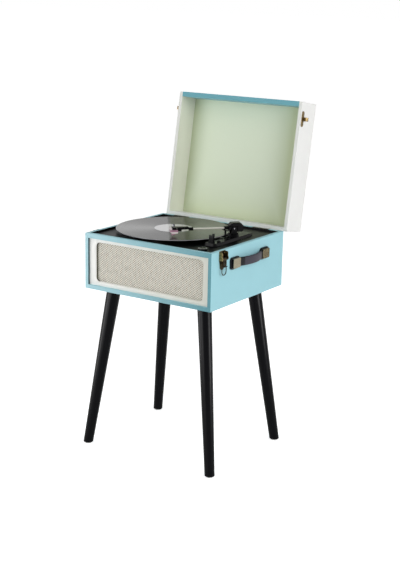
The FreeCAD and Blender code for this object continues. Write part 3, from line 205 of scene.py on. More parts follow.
class PlayerSizes(bpy.types.PropertyGroup):
    """Sizes of what is drawn on the solids."""
    grain: length("Grain", "Width of one pebble of the leathercloth", 1.6)
    thread: length("Thread spacing", "Between the grille cloth's threads, drawn coarse", 8.2)
    weft: length("Weft spacing", "Between the grille cloth's rows, drawn coarse", 5.9)
    groove: length("Groove bands", "Spacing of the bands on the record, drawn coarse", 1.1)
    rivet_radius: length("Rivet head", "Radius of the small rivet heads", 2.1)
    stitch: length("Stitch", "Length of one stitch", 3.4)
    thread_radius: length("Stitch thread", "Radius of the thread", 0.28)
    strap_crown: length("Strap crown", "How much thinner the strap is at its edges", 1.3)
    keeper_length: length("Strap ends", "Length of the folded leather beside each cap", 12.0)
    cloth_rows: IntProperty(name="Cloth rows", description="Rows of faces over the cloth",
                            default=24, min=4)


def player():
    """The colours and the sizes that the user has set."""
    return bpy.context.scene.player_colours, bpy.context.scene.player_sizes


def wire(tree, node, inputs):
    """Sets a node's inputs, or links them where the value is a socket."""
    for name, value in inputs.items():
        if isinstance(value, bpy.types.NodeSocket):
            tree.links.new(value, node.inputs[name])
        else:
            node.inputs[name].default_value = value


def add(tree, kind, inputs=None, **settings):
    """Adds a shader node with its settings, and sets or links its inputs."""
    made = tree.nodes.new(kind)
    for name, value in settings.items():
        setattr(made, name, value)
    wire(tree, made, inputs or {})
    return made


def finish_of(name, base, roughness, metallic=0.0, specular=0.5, coat=0.0):
    """A new material with its shader, ready for a pattern."""
    made = bpy.data.materials.new(name)
    made.use_nodes = True
    tree = made.node_tree
    shader = tree.nodes["Principled BSDF"]
    wire(tree, shader, {"Base Color": base, "Roughness": roughness, "Metallic": metallic,
                        "Specular IOR Level": specular, "Coat Weight": coat})
    return made, tree, shader


def per_metre(size):
    """How often a pattern of this size, in metres, repeats in a metre."""
    return 1.0 / size


def leathercloth(name, base, other=None, axis="X", start=0.0, end=0.0):
    """PU leathercloth, embossed and rolled on to board: a pebbled satin skin with soft glints.

    Where a second colour is given, it takes over along an axis between two places.
    """
    made, tree, shader = finish_of(name, base, roughness=0.5, specular=0.2)
    place = add(tree, "ShaderNodeTexCoord").outputs["Object"]
    grain = per_metre(player()[1].grain)
    pebble = add(tree, "ShaderNodeTexVoronoi", {"Vector": place, "Scale": grain})
    drift = add(tree, "ShaderNodeTexNoise",
                {"Vector": place, "Scale": TONE_DRIFTS, "Detail": 3.0})
    deep, pale = [tuple(min(1, c * share) for c in base[:3]) + (1,) for share in TONE_SPAN]
    shade = add(tree, "ShaderNodeMix",
                {"Factor": drift.outputs["Fac"], "A": deep, "B": pale}, data_type="RGBA")
    if other is not None:
        along = add(tree, "ShaderNodeSeparateXYZ", {"Vector": place})
        share = add(tree, "ShaderNodeMapRange",
                    {"Value": along.outputs[axis], "From Min": start, "From Max": end})
        shade = add(tree, "ShaderNodeMix",
                    {"Factor": share.outputs["Result"], "A": shade.outputs["Result"], "B": other},
                    data_type="RGBA")
    gloss = add(tree, "ShaderNodeMapRange",
                {"Value": pebble.outputs["Distance"], "To Min": 0.42, "To Max": 0.58})
    bump = add(tree, "ShaderNodeBump", {"Height": pebble.outputs["Distance"], "Strength": 0.12,
                                        "Distance": PEBBLE_RELIEF})
    wire(tree, shader, {"Base Color": shade.outputs["Result"], "Roughness": gloss.outputs["Result"],
                        "Normal": bump.outputs["Normal"]})
    return made


def speckled(name, base, roughness, grit, depth, metallic=0.0, coat=0.0, specular=0.5):
    """A moulded, cast or lacquered surface: an even colour with a fine grit in its gloss."""
    made, tree, shader = finish_of(name, base, roughness, metallic, specular, coat)
    place = add(tree, "ShaderNodeTexCoord").outputs["Object"]
    noise = add(tree, "ShaderNodeTexNoise",
                {"Vector": place, "Scale": per_metre(grit), "Detail": 4.0})
    smooth, rough = [min(1.0, roughness * share) for share in GRIT_GLOSS]
    gloss = add(tree, "ShaderNodeMapRange",
                {"Value": noise.outputs["Fac"], "To Min": smooth, "To Max": rough})
    bump = add(tree, "ShaderNodeBump", {"Height": noise.outputs["Fac"], "Strength": depth,
                                        "Distance": GRIT_RELIEF})
    wire(tree, shader, {"Roughness": gloss.outputs["Result"], "Normal": bump.outputs["Normal"]})
    return made


def antique_brass(name, bright, dark, cloud_size):
    """Plated brass, darkened and rubbed back: warm metal with brown patina in clouds."""
    made, tree, shader = finish_of(name, bright, roughness=0.36, metallic=1.0)
    place = add(tree, "ShaderNodeTexCoord").outputs["Object"]
    cloud = add(tree, "ShaderNodeTexNoise",
                {"Vector": place, "Scale": per_metre(cloud_size), "Detail": 5.0})
    patina = add(tree, "ShaderNodeValToRGB", {"Fac": cloud.outputs["Fac"]})
    for stop, position, tone in zip(patina.color_ramp.elements, (0.38, 0.58), (dark, bright)):
        stop.position = position
        stop.color = tone
    # The patina is dull, and the metal that was rubbed back shines
    gloss = add(tree, "ShaderNodeMapRange",
                {"Value": cloud.outputs["Fac"], "To Min": 0.5, "To Max": 0.25})
    wire(tree, shader, {"Base Color": patina.outputs["Color"],
                        "Roughness": gloss.outputs["Result"]})
    return made


def grille_weave():
    """Woven polyester cloth: pale slubbed threads with small dark gaps in diagonal rows.

    The real threads are too fine to show in a render of this size, so the spacing across and up
    is drawn as coarse as it needs to be for the diagonal rows to show.
    """
    colours, sizes = player()
    made, tree, shader = finish_of("Polyester grille cloth woven", colours.cloth_light,
                                   roughness=0.9, specular=0.2)
    place = add(tree, "ShaderNodeTexCoord").outputs["Object"]
    across = add(tree, "ShaderNodeSeparateXYZ", {"Vector": place})
    waves = []
    for axis, pitch in (("X", sizes.thread), ("Z", sizes.weft)):
        phase = add(tree, "ShaderNodeMath",
                    {0: across.outputs[axis], 1: 2 * math.pi / pitch}, operation="MULTIPLY")
        waves.append(add(tree, "ShaderNodeMath", {0: phase.outputs[0]}, operation="SINE"))
    crossing = add(tree, "ShaderNodeMath",
                   {0: waves[0].outputs[0], 1: waves[1].outputs[0]}, operation="MULTIPLY")
    gaps = add(tree, "ShaderNodeMapRange", {"Value": crossing.outputs[0], "From Min": -0.2,
                                            "From Max": 0.8, "To Max": 0.9})
    # Slubs: thicker and thinner stretches of thread, drawn out upwards
    drawn = add(tree, "ShaderNodeMapping", {"Vector": place, "Scale": (1.0, 1.0, 0.3)})
    bands = add(tree, "ShaderNodeTexNoise", {"Vector": drawn.outputs["Vector"],
                                             "Scale": per_metre(sizes.thread / 2), "Detail": 2.0})
    slubs = add(tree, "ShaderNodeMapRange", {"Value": bands.outputs["Fac"], "From Min": 0.35,
                                             "From Max": 0.65, "To Min": -0.1, "To Max": 0.16})
    dark = add(tree, "ShaderNodeMath", {0: gaps.outputs["Result"], 1: slubs.outputs["Result"]},
               operation="ADD", use_clamp=True)
    shade = add(tree, "ShaderNodeMix",
                {"Factor": dark.outputs[0], "A": colours.cloth_light, "B": colours.cloth_dark},
                data_type="RGBA")
    bump = add(tree, "ShaderNodeBump", {"Height": crossing.outputs[0], "Strength": 0.35,
                                        "Distance": WEAVE_RELIEF})
    wire(tree, shader, {"Base Color": shade.outputs["Result"], "Normal": bump.outputs["Normal"]})
    return made


def grooved_vinyl():
    """Pressed vinyl: glossy black with fine rings that break the reflections up.

    Real grooves are about a tenth of a millimetre apart and don't show, so bands of them are drawn.
    """
    colours, sizes = player()
    made, tree, shader = finish_of("Vinyl pressed with grooves", colours.vinyl, roughness=0.3,
                                   specular=0.15, coat=0.55)
    sheen = add(tree, "ShaderNodeTangent", direction_type="RADIAL", axis="Z")
    low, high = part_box("record")
    place = add(tree, "ShaderNodeTexCoord").outputs["Object"]
    middle = add(tree, "ShaderNodeVectorMath", {0: place, 1: tuple((low + high) / 2)},
                 operation="SUBTRACT")
    radius = add(tree, "ShaderNodeVectorMath", {0: middle.outputs["Vector"]}, operation="LENGTH")
    ring = add(tree, "ShaderNodeMath",
               {0: radius.outputs["Value"], 1: per_metre(sizes.groove)}, operation="MULTIPLY")
    track = add(tree, "ShaderNodeTexNoise", {"W": ring.outputs[0], "Scale": 1.0, "Detail": 2.0},
                noise_dimensions="1D")
    gloss = add(tree, "ShaderNodeMapRange",
                {"Value": track.outputs["Fac"], "To Min": 0.24, "To Max": 0.36})
    bump = add(tree, "ShaderNodeBump", {"Height": track.outputs["Fac"], "Strength": 0.08,
                                        "Distance": GROOVE_RELIEF})
    wire(tree, shader, {"Coat Roughness": 0.05, "Anisotropic": 0.9, "Anisotropic Rotation": 0.25,
                        "Tangent": sheen.outputs["Tangent"], "Roughness": gloss.outputs["Result"],
                        "Normal": bump.outputs["Normal"]})
    return made


def lining_paper():
    """Lining paper: matte sage, with painted shade near the hinge and the side walls, above all the
    right.
    """
    colours = player()[0]
    made, tree, shader = finish_of("Lining paper matte", colours.lining, roughness=0.85,
                                   specular=0.2)
    low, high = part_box("lid_lining")
    place = add(tree, "ShaderNodeTexCoord").outputs["Object"]
    parts = add(tree, "ShaderNodeSeparateXYZ", {"Vector": place})
    # From -1 at one edge to a last value at the other: the sixth power of it is the share of
    # painted shade
    edges = []
    for axis, near, far, last in (("X", low.x, high.x, 1.3), ("Z", low.z, high.z, 0.0)):
        share = add(tree, "ShaderNodeMapRange", {"Value": parts.outputs[axis], "From Min": near,
                                                 "From Max": far, "To Min": -1.0, "To Max": last})
        edges.append(add(tree, "ShaderNodeMath", {0: share.outputs["Result"], 1: 6.0},
                         operation="POWER"))
    painted_rim = add(tree, "ShaderNodeMath", {0: edges[0].outputs[0], 1: edges[1].outputs[0]},
              operation="MAXIMUM")
    shade = add(tree, "ShaderNodeMix",
                {"Factor": painted_rim.outputs[0], "A": colours.lining, "B": colours.lining_shade},
                data_type="RGBA")
    fibre = add(tree, "ShaderNodeTexNoise",
                {"Vector": place, "Scale": per_metre(PAPER_FIBRE), "Detail": 3.0})
    bump = add(tree, "ShaderNodeBump", {"Height": fibre.outputs["Fac"], "Strength": 0.08,
                                        "Distance": GRIT_RELIEF})
    wire(tree, shader, {"Base Color": shade.outputs["Result"], "Normal": bump.outputs["Normal"]})
    return made


def windowed(name, base, tint, node, first, last):
    """Moulded ABS: smooth and pale, with a tinted window between two shares of its height."""
    made = speckled(name, base, roughness=0.35, grit=0.4 * MM, depth=0.05)
    tree = made.node_tree
    low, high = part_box(node)
    place = add(tree, "ShaderNodeTexCoord").outputs["Object"]
    parts = add(tree, "ShaderNodeSeparateXYZ", {"Vector": place})
    share = add(tree, "ShaderNodeMapRange",
                {"Value": parts.outputs["Z"], "From Min": low.z, "From Max": high.z})
    inside = add(tree, "ShaderNodeMath", {0: share.outputs["Result"], 1: (first + last) / 2,
                                          2: (last - first) / 2}, operation="COMPARE")
    shade = add(tree, "ShaderNodeMix", {"Factor": inside.outputs[0], "A": base, "B": tint},
                data_type="RGBA")
    wire(tree, tree.nodes["Principled BSDF"], {"Base Color": shade.outputs["Result"]})
    return made


def dress(material, *nodes):
    """Gives CAD nodes their finish."""
    for name in nodes:
        data = NODES[name].data
        data.materials.clear()
        data.materials.append(material)


def second_finish(material, node, chosen):
    """Gives the faces of a node that are chosen a further finish."""
    data = NODES[node].data
    data.materials.append(material)
    for face in data.polygons:
        if chosen(face):
            face.material_index = len(data.materials) - 1


def looking(axis, sign):
    """Chooses the faces that look along an axis, 0 to 2, to its plus or minus side."""
    return lambda face: face.normal[axis] * sign > FACING


def soften(width, *nodes):
    """A small rounded edge that catches the light."""
    for name in nodes:
        bevel = NODES[name].modifiers.new("Rounded edge", "BEVEL")
        bevel.width = width
        bevel.segments = 2
        bevel.limit_method = "ANGLE"
        bevel.angle_limit = SHARP


def circle(centre, across, up, radius, sides):
    """Points round a centre, that start across and turn upwards."""
    turns = [2 * math.pi * k / sides for k in range(sides)]
    return [centre + radius * (math.cos(turn) * across + math.sin(turn) * up) for turn in turns]


def tube_of_rings(form, rings):
    """Skins closed rings of points into one solid with capped ends."""
    loops = [[form.verts.new(p) for p in ring] for ring in rings]
    for near, far in zip(loops, loops[1:]):
        for k in range(len(near)):
            form.faces.new((near[k - 1], near[k], far[k], far[k - 1]))
    form.faces.new(list(reversed(loops[0])))
    form.faces.new(loops[-1])


def rivet(form, centre, across, out, radius):
    """A domed rivet head with a shallow dimple, standing on an upright face."""
    tube_of_rings(form, [circle(centre + radius * rise * out, across, UP, radius * share,
                                RIVET_SIDES) for share, rise in RIVET_PROFILE])


def hinge_middles():
    """Places of the two hinges' middles along X."""
    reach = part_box("case_hinge_leaves")[1].x - HINGE_WIDTH / 2
    return -reach, reach


def latch_and_hinge_rivets(radius):
    """Two rivets on each latch plate and three on each hinge leaf."""
    form = bmesh.new()
    low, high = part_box("latch_plates")
    plate_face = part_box("case_right_side")[1].x + SHEET
    for side in (-1, 1):
        for shift in (-LATCH_RIVET_SPREAD, LATCH_RIVET_SPREAD):
            place = Vector((side * plate_face, (low.y + high.y) / 2 + shift,
                            high.z - LATCH_RIVET_DROP))
            rivet(form, place, BACK, side * RIGHT, radius)
    leaf_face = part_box("case_rear")[1].y + SHEET
    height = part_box("case_hinge_leaves")[0].z + HINGE_RIVET_RISE
    for middle in hinge_middles():
        for shift in (-HINGE_RIVET_PITCH, 0, HINGE_RIVET_PITCH):
            rivet(form, Vector((middle + shift, leaf_face, height)), -RIGHT, BACK, radius)
    return form


def hinge_folds():
    """Thin sheets with rounded corners, folded over the case's rear edge at each hinge."""
    form = bmesh.new()
    low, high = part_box("case_rear")
    for middle in hinge_middles():
        place = Matrix.Translation((middle, (low.y + high.y) / 2, high.z + FOLD / 2))
        size = Matrix.Diagonal((HINGE_WIDTH, high.y - low.y, FOLD, 1))
        made = bmesh.ops.create_cube(form, size=1, matrix=place @ size)
        upright = {edge for vert in made["verts"] for edge in vert.link_edges
                   if abs(edge.verts[0].co.z - edge.verts[1].co.z) > FOLD / 2}
        bmesh.ops.bevel(form, geom=list(upright), offset=FOLD_ROUND, segments=4, affect="EDGES",
                        profile=0.5)
    return form


def bulged_sheet(low, high, rows):
    """A sheet over a box, that stands out to the front in its middle."""
    form = bmesh.new()
    columns = CLOTH_COLUMNS * rows
    bulge = CLOTH_BULGE * (high.y - low.y)
    grid = []
    for j in range(rows + 1):
        v = j / rows
        line = []
        for i in range(columns + 1):
            u = i / columns
            out = bulge * math.sin(math.pi * u) * math.sin(math.pi * v)
            line.append(form.verts.new((low.x + u * (high.x - low.x), low.y + 2 * bulge - out,
                                        low.z + v * (high.z - low.z))))
        grid.append(line)
    for near, far in zip(grid, grid[1:]):
        for i in range(columns):
            form.faces.new((near[i], near[i + 1], far[i + 1], far[i]))
    return form


def strap_bow():
    """The strap's line, its thickness, how far from its middle it bends, and half its width.

    The line gives, for a place along Y, a point on the inner face and the way that the strap faces.
    """
    low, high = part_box("handle_strap")
    seat, middle = low.x, (low.z + high.z) / 2
    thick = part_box("handle_end_caps")[1].x - seat - CAP_SHEET
    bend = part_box("handle_mounts")[1].y - MOUNT_LENGTH
    rise = high.x - seat - thick
    radius = (bend ** 2 + rise ** 2) / (2 * rise)

    def line(y):
        if abs(y) > bend:
            return Vector((seat, y, middle)), RIGHT
        lean = math.asin(y / radius)
        height = math.sqrt(radius ** 2 - y ** 2) - (radius - rise)
        return Vector((seat + height, y, middle)), Vector((math.cos(lean), math.sin(lean), 0))

    return line, thick, bend, (high.z - low.z) / 2


def strap_form(crown):
    """The padded strap: flat beneath, crowned on top and thinner at its edges."""
    line, thick, _, half = strap_bow()
    wide, deep = STRAP_FULLNESS
    section = []
    for k in range(STRAP_SIDES):
        turn = 2 * math.pi * (k + 0.5) / STRAP_SIDES
        across = math.copysign(min(1, abs(math.sin(turn)) * wide), math.sin(turn))
        depth = math.copysign(min(1, abs(math.cos(turn)) * deep), math.cos(turn))
        thin = crown * across ** 4 if depth > 0 else 0  # falls away only near the edges
        section.append((thick / 2 + depth * thick / 2 - thin, across * half))
    low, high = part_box("handle_strap")
    rings = []
    for i in range(STRAP_STEPS + 1):
        place, out = line(low.y + (high.y - low.y) * i / STRAP_STEPS)
        rings.append([place + out * depth + UP * across for depth, across in section])
    form = bmesh.new()
    tube_of_rings(form, rings)
    return form


def stitching(sizes):
    """Two rows of stitches on the strap, whose ends dip into the leather."""
    line, thick, bend, half = strap_bow()
    form = bmesh.new()
    count = int(2 * bend / (STITCH_PITCH * sizes.stitch))
    for edge in (-1, 1):
        for i in range(count):
            place, out = line(-bend + (i + 0.5) * 2 * bend / count)
            place = place + out * (thick - STITCH_SINK * sizes.strap_crown)
            place = place + UP * edge * (half - STITCH_INSET)
            along = Vector((-out.y, out.x, 0))
            tube_of_rings(form, [circle(place + along * share * sizes.stitch, out, UP,
                                        size * sizes.thread_radius, STITCH_SIDES)
                                 for share, size in STITCH_PROFILE])
    return form


def new_piece(name, form, material, body):
    """Turns a bmesh into an object that rides on a body."""
    data = bpy.data.meshes.new(name)
    form.to_mesh(data)
    form.free()
    for face in data.polygons:
        face.use_smooth = True
    data.materials.append(material)
    made = bpy.data.objects.new(name, data)
    bpy.context.scene.collection.objects.link(made)
    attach(made, body)
    return made


class PLAYER_OT_case(bpy.types.Operator):
    """Wraps the case in leathercloth"""
    bl_idname = "player.case"
    bl_label = "Case"

    def execute(self, context):
        colours = player()[0]
        dress(leathercloth("PU leathercloth turquoise", colours.turquoise), "case_left_side",
              "case_right_side", "case_bottom", "case_rear", "front_rail", "lid_front_rail")
        # Painted sheen: the front edges are drawn pale at the left and deepen to their own tone at
        # the right, as a sheen of light from the left makes them
        left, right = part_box("case_left_side")[0].x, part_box("case_right_side")[1].x
        edge = leathercloth("PU leathercloth turquoise on the front edges, painted sheen", colours.edge_left_sheen,
                            colours.edge_right, "X", left, right)
        for node in ("front_rail", "case_bottom", "case_left_side", "case_right_side"):
            second_finish(edge, node, looking(1, -1))
        second_finish(leathercloth("PU leathercloth turquoise on the lid's front edge",
                                   colours.lid_edge), "lid_front_rail", looking(1, -1))
        # Painted shade: behind the front rail the case's inner walls are drawn black, for the shade
        # inside the case
        rail_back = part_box("front_rail")[1].y
        paint = (colours.black, "Y", rail_back, rail_back + PAINTED_SHADE_EDGE)
        turned_in = leathercloth("PU leathercloth turned in, black painted shade behind",
                                 colours.turquoise_edge, *paint)
        # Painted shade: the recess wall left of the grille is drawn dark, for the shade in the
        # recess
        recess_shade = leathercloth("PU leathercloth in the recess, black painted shade behind",
                              colours.recess_shade, *paint)
        for material, node, axis, sign in ((recess_shade, "case_left_side", 0, 1),
                                           (turned_in, "case_right_side", 0, -1),
                                           (turned_in, "case_rear", 1, -1),
                                           (turned_in, "front_rail", 1, 1)):
            second_finish(material, node, looking(axis, sign))
        return {"FINISHED"}


class PLAYER_OT_grille(bpy.types.Operator):
    """Makes the cream frame and the stretched grille cloth, and finishes what is behind it"""
    bl_idname = "player.grille"
    bl_label = "Grille"

    def execute(self, context):
        colours, sizes = player()
        low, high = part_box("grille_panel")
        # Painted light: the frame runs from a lit tone at the left to a shaded tone at the right
        dress(leathercloth("PU leathercloth cream on the grille, painted light", colours.frame_left_lit,
                           colours.frame_right_shaded, "X", low.x, high.x), "grille_panel")
        soften(FRAME_ROUND, "grille_panel")
        # Painted shade: the left wall of the grille's opening drawn dull and dark, a line of shade
        # beside the cloth
        painted_shade_line = speckled("Cut board edge, painted shade", colours.cut_edge_shade, roughness=0.8, grit=0.9 * MM,
                       depth=0.2)
        second_finish(painted_shade_line, "grille_panel", lambda face: abs(face.normal.y) < SIDEWAYS
                      and face.normal.x > SIDEWAYS and face.center.x < 0)
        # Pressed wood chips: a dry, uneven brown
        dress(speckled("Particle board raw", linear("#9B8260"), roughness=0.85, grit=1.2 * MM,
                       depth=0.3), "baffle_board")
        # Stoved enamel on pressed steel: smooth black with a broad shine
        dress(speckled("Steel black enamel", colours.black, roughness=0.4, grit=0.6 * MM,
                       depth=0.1), "speaker_frames")
        # Felted paper pulp: dark and quite without shine
        dress(speckled("Cone paper pressed", linear("#26262A"), roughness=0.9, grit=0.8 * MM,
                       depth=0.3), "speaker_cones")
        low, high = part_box("grille_cloth")
        cloth = new_piece("stretched_grille_cloth", bulged_sheet(low, high, sizes.cloth_rows),
                          grille_weave(), "case")
        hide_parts("grille_cloth")
        return {"FINISHED"}


class PLAYER_OT_deck(bpy.types.Operator):
    """Finishes the deck, the platter and its drive"""
    bl_idname = "player.deck"
    bl_label = "Deck"

    def execute(self, context):
        colours = player()[0]
        # Satin paint on board: near black, with a faint soft shine
        dress(speckled("Deck board black satin", colours.black, roughness=0.38, grit=0.9 * MM,
                       depth=0.15, specular=0.11), "deck_plate")
        # Moulded plastic: black with small even glints
        dress(speckled("ABS moulded black", colours.black, roughness=0.38, grit=0.5 * MM,
                       depth=0.12), "platter")
        # Moulded rubber: a dull dark grey
        dress(speckled("Rubber moulded black", linear("#1B1B1B"), roughness=0.8, grit=0.6 * MM,
                       depth=0.3), "platter_mat", "drive_belt")
        # Turned steel: grey metal with a tight shine
        dress(speckled("Steel turned", linear("#8E8F92"), roughness=0.25, grit=0.4 * MM,
                       depth=0.05, metallic=1.0), "spindle", "arm_lift_pin", "hinge_pins")
        # Sintered bronze: warm metal, a little porous
        dress(speckled("Bronze sintered", linear("#B08D57"), roughness=0.4, grit=0.5 * MM,
                       depth=0.1, metallic=1.0), "bearing_bush", "motor_pulley")
        # Zinc on drawn steel: pale grey metal with a soft shine
        dress(speckled("Steel can zinc plated", linear("#A9ABAD"), roughness=0.35, grit=0.6 * MM,
                       depth=0.1, metallic=1.0), "motor")
        return {"FINISHED"}


class PLAYER_OT_record(bpy.types.Operator):
    """Finishes the record and its labels"""
    bl_idname = "player.record"
    bl_label = "Record"

    def execute(self, context):
        colours = player()[0]
        dress(grooved_vinyl(), "record")
        low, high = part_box("record")
        middle, half = (low + high) / 2, (high.x - low.x) / 2
        # Painted highlight: the record's edge drawn paler than the face and duller, a thin line of
        # light
        painted_rim = speckled("Vinyl edge, painted highlight", colours.vinyl_edge_highlight, roughness=0.4, grit=0.8 * MM,
                       depth=0.1)
        second_finish(painted_rim, "record", lambda face: (face.center - middle).xy.length > RIM_FROM * half
                      and abs(face.normal.z) < FACING)
        # Coated paper pressed into the vinyl: grey under a clear gloss
        dress(speckled("Label paper glossy", colours.label, roughness=0.45, grit=1.0 * MM,
                       depth=0.1, coat=1.0), "record_label")
        return {"FINISHED"}


class PLAYER_OT_tonearm(bpy.types.Operator):
    """Finishes the tonearm, its base and its controls"""
    bl_idname = "player.tonearm"
    bl_label = "Tonearm"

    def execute(self, context):
        colours = player()[0]
        # Moulded plastic from a polished tool: deep black with crisp small glints
        dress(speckled("ABS moulded fine black", colours.black, roughness=0.26, grit=0.4 * MM,
                       depth=0.08, specular=0.1), "tonearm_base", "tonearm_turret",
              "arm_rear_block", "headshell", "cue_lever", "cue_lift", "speed_switch",
              "volume_pot", "volume_knob")
        # Silver lacquer on a drawn tube: pale, between paint and metal
        dress(speckled("Aluminium tube lacquered silver", linear("#E0DED4"), roughness=0.4,
                       grit=0.4 * MM, depth=0.02, metallic=0.5), "tonearm_tube")
        # Painted highlight: a bright ring of spun aluminium round the knob's dish, where the knob's
        # top edge catches the light
        ring = speckled("Aluminium spun satin, painted highlight", linear("#C4C5C7"), roughness=0.3, grit=0.4 * MM,
                        depth=0.05, metallic=1.0)
        low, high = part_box("volume_knob")
        middle = (low + high) / 2
        second_finish(ring, "volume_knob", lambda face: face.normal.z > LOOKS_UP
                      and (face.center - middle).xy.length > KNOB_DISH)
        dress(windowed("Cartridge ABS pale, tinted window", colours.cartridge, colours.stylus,
                       "cartridge", *WINDOW), "cartridge")
        # Tinted polycarbonate: smooth and glossy, a small pink accent
        dress(speckled("Stylus polycarbonate pink", colours.stylus, roughness=0.25, grit=0.5 * MM,
                       depth=0.03), "stylus")
        return {"FINISHED"}


class PLAYER_OT_lid(bpy.types.Operator):
    """Finishes the lid"""
    bl_idname = "player.lid"
    bl_label = "Lid"

    def execute(self, context):
        colours = player()[0]
        dress(leathercloth("PU leathercloth cream on the lid", colours.cream), "lid_left_side",
              "lid_right_side", "lid_rear_rail", "lid_top_panel")
        # Painted shade: the same cream leathercloth, drawn darker inside the lid and on its rim
        inside = leathercloth("PU leathercloth cream inside the lid, painted shade", colours.lid_inside_shade)
        painted_rim = leathercloth("PU leathercloth cream on the lid's rim", colours.lid_rim_shade)
        for node, sign in (("lid_left_side", 1), ("lid_right_side", -1)):
            second_finish(inside, node, looking(0, sign))
            second_finish(painted_rim, node, looking(1, -1))
        second_finish(painted_rim, "lid_rear_rail", looking(1, -1))
        dress(lining_paper(), "lid_lining")
        return {"FINISHED"}


class PLAYER_OT_metalwork(bpy.types.Operator):
    """Finishes hinges, latches, catches and the handle's caps, and adds rivets and folds"""
    bl_idname = "player.metalwork"
    bl_label = "Metalwork"

    def execute(self, context):
        colours, sizes = player()
        brass = antique_brass("Brass antiqued and rubbed", colours.brass, colours.brass_dark,
                              cloud_size=5 * MM)
        dress(brass, "case_hinge_leaves", "lid_hinge_leaves", "latch_plates")
        dress(antique_brass("Brass antiqued brown", colours.brass, colours.brass_deep,
                            cloud_size=4 * MM), "lid_catches")
        deep = antique_brass("Brass blackened", colours.brass_deep, linear("#120E09"),
                             cloud_size=6 * MM)
        dress(deep, "left_latch_lever", "left_latch_loop", "right_latch_lever", "right_latch_loop")
        plate_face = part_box("case_right_side")[1].x + SHEET
        second_finish(deep, "latch_plates", lambda face: abs(face.normal.x) > FACING
                      and abs(face.center.x) < plate_face + SHEET)
        dress(antique_brass("Brass rubbed pale", colours.cap_brass, linear("#8A8370"),
                            cloud_size=3 * MM), "handle_end_caps")
        # Painted shade: the rear cap's faces are drawn in darker brass than the front cap's
        dull = antique_brass("Brass rubbed, painted shade at the rear", colours.cap_rear_shade,
                             colours.brass_deep, cloud_size=3 * MM)
        second_finish(dull, "handle_end_caps", lambda face: face.center.y > 0)
        new_piece("latch_and_hinge_rivets", latch_and_hinge_rivets(sizes.rivet_radius), brass,
                  "case")
        new_piece("hinge_top_folds", hinge_folds(), deep, "case")
        return {"FINISHED"}


class PLAYER_OT_handle(bpy.types.Operator):
    """Makes the padded strap of the handle with its stitching"""
    bl_idname = "player.handle"
    bl_label = "Handle"

    def execute(self, context):
        colours, sizes = player()
        leather = leathercloth("PU leather charcoal", colours.strap)
        folded = leathercloth("PU leather black", colours.keeper)
        dress(folded, "handle_mounts")
        soften(MOUNT_ROUND, "handle_mounts")
        strap = new_piece("padded_strap", strap_form(sizes.strap_crown), leather, "case")
        strap.data.materials.append(folded)
        plain = strap_bow()[2] - sizes.keeper_length
        for face in strap.data.polygons:
            face.material_index = int(abs(face.center.y) > plain)
        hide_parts("handle_strap")
        # Twisted thread: black with a faint sheen, each stitch a small bead of light
        thread = speckled("Polyester thread black", linear("#2B2C2F"), roughness=0.6,
                          grit=0.3 * MM, depth=0.1)
        new_piece("strap_stitching", stitching(sizes), thread, "case")
        return {"FINISHED"}


class PLAYER_OT_legs(bpy.types.Operator):
    """Finishes the legs, their plates and pads"""
    bl_idname = "player.legs"
    bl_label = "Legs"

    def execute(self, context):
        colours = player()[0]
        # Sprayed lacquer on turned beech: deep black with a long highlight down each side
        dress(speckled("Beech lacquered black", colours.lacquer, roughness=0.28, grit=1.2 * MM,
                       depth=0.05, specular=0.055), *LEGS)
        # Painted steel: black with a dull shine
        dress(speckled("Steel plate black", colours.black, roughness=0.45, grit=0.6 * MM,
                       depth=0.1), "leg_plates")
        # Moulded nylon: pale grey, waxy
        dress(speckled("Nylon glide grey", colours.pad, roughness=0.5, grit=0.6 * MM, depth=0.1),
              "foot_pads")
        return {"FINISHED"}


class PLAYER_OT_rear(bpy.types.Operator):
    """Finishes the rear sockets and the circuit board"""
    bl_idname = "player.rear"
    bl_label = "Rear"

    def execute(self, context):
        # Moulded plastic: black with a soft shine
        dress(speckled("ABS socket black", player()[0].black, roughness=0.4, grit=0.5 * MM,
                       depth=0.1), "line_out_jacks", "power_inlet")
        # Green solder lacquer: smooth and a little glossy
        dress(speckled("Circuit board lacquered", linear("#1F6B3C"), roughness=0.4, grit=0.8 * MM,
                       depth=0.1), "circuit_board")
        return {"FINISHED"}


def white_room(scene):
    """A white world that lights the object evenly, and is darker overhead in reflections."""
    world = bpy.data.worlds.new("White room")
    scene.world = world
    world.use_nodes = True
    tree = world.node_tree
    rays = add(tree, "ShaderNodeLightPath")
    seen = add(tree, "ShaderNodeMath",
               {0: rays.outputs["Is Camera Ray"], 1: rays.outputs["Is Transmission Ray"]},
               operation="MAXIMUM")
    level = add(tree, "ShaderNodeMapRange",
                {"Value": seen.outputs[0], "To Min": ROOM_LIGHT, "To Max": ROOM_SEEN})
    place = add(tree, "ShaderNodeTexCoord").outputs["Generated"]
    way = add(tree, "ShaderNodeSeparateXYZ", {"Vector": place})
    ceiling = add(tree, "ShaderNodeMapRange",
                  {"Value": way.outputs["Z"], "From Min": CEILING_RISE[0],
                   "From Max": CEILING_RISE[1], "To Min": ROOM_SEEN, "To Max": CEILING_SEEN})
    strength = add(tree, "ShaderNodeMix",
                   {"Factor": rays.outputs["Is Glossy Ray"], "A": level.outputs["Result"],
                    "B": ceiling.outputs["Result"]})
    wire(tree, tree.nodes["Background"],
         {"Color": (1, 1, 1, 1), "Strength": strength.outputs["Result"]})


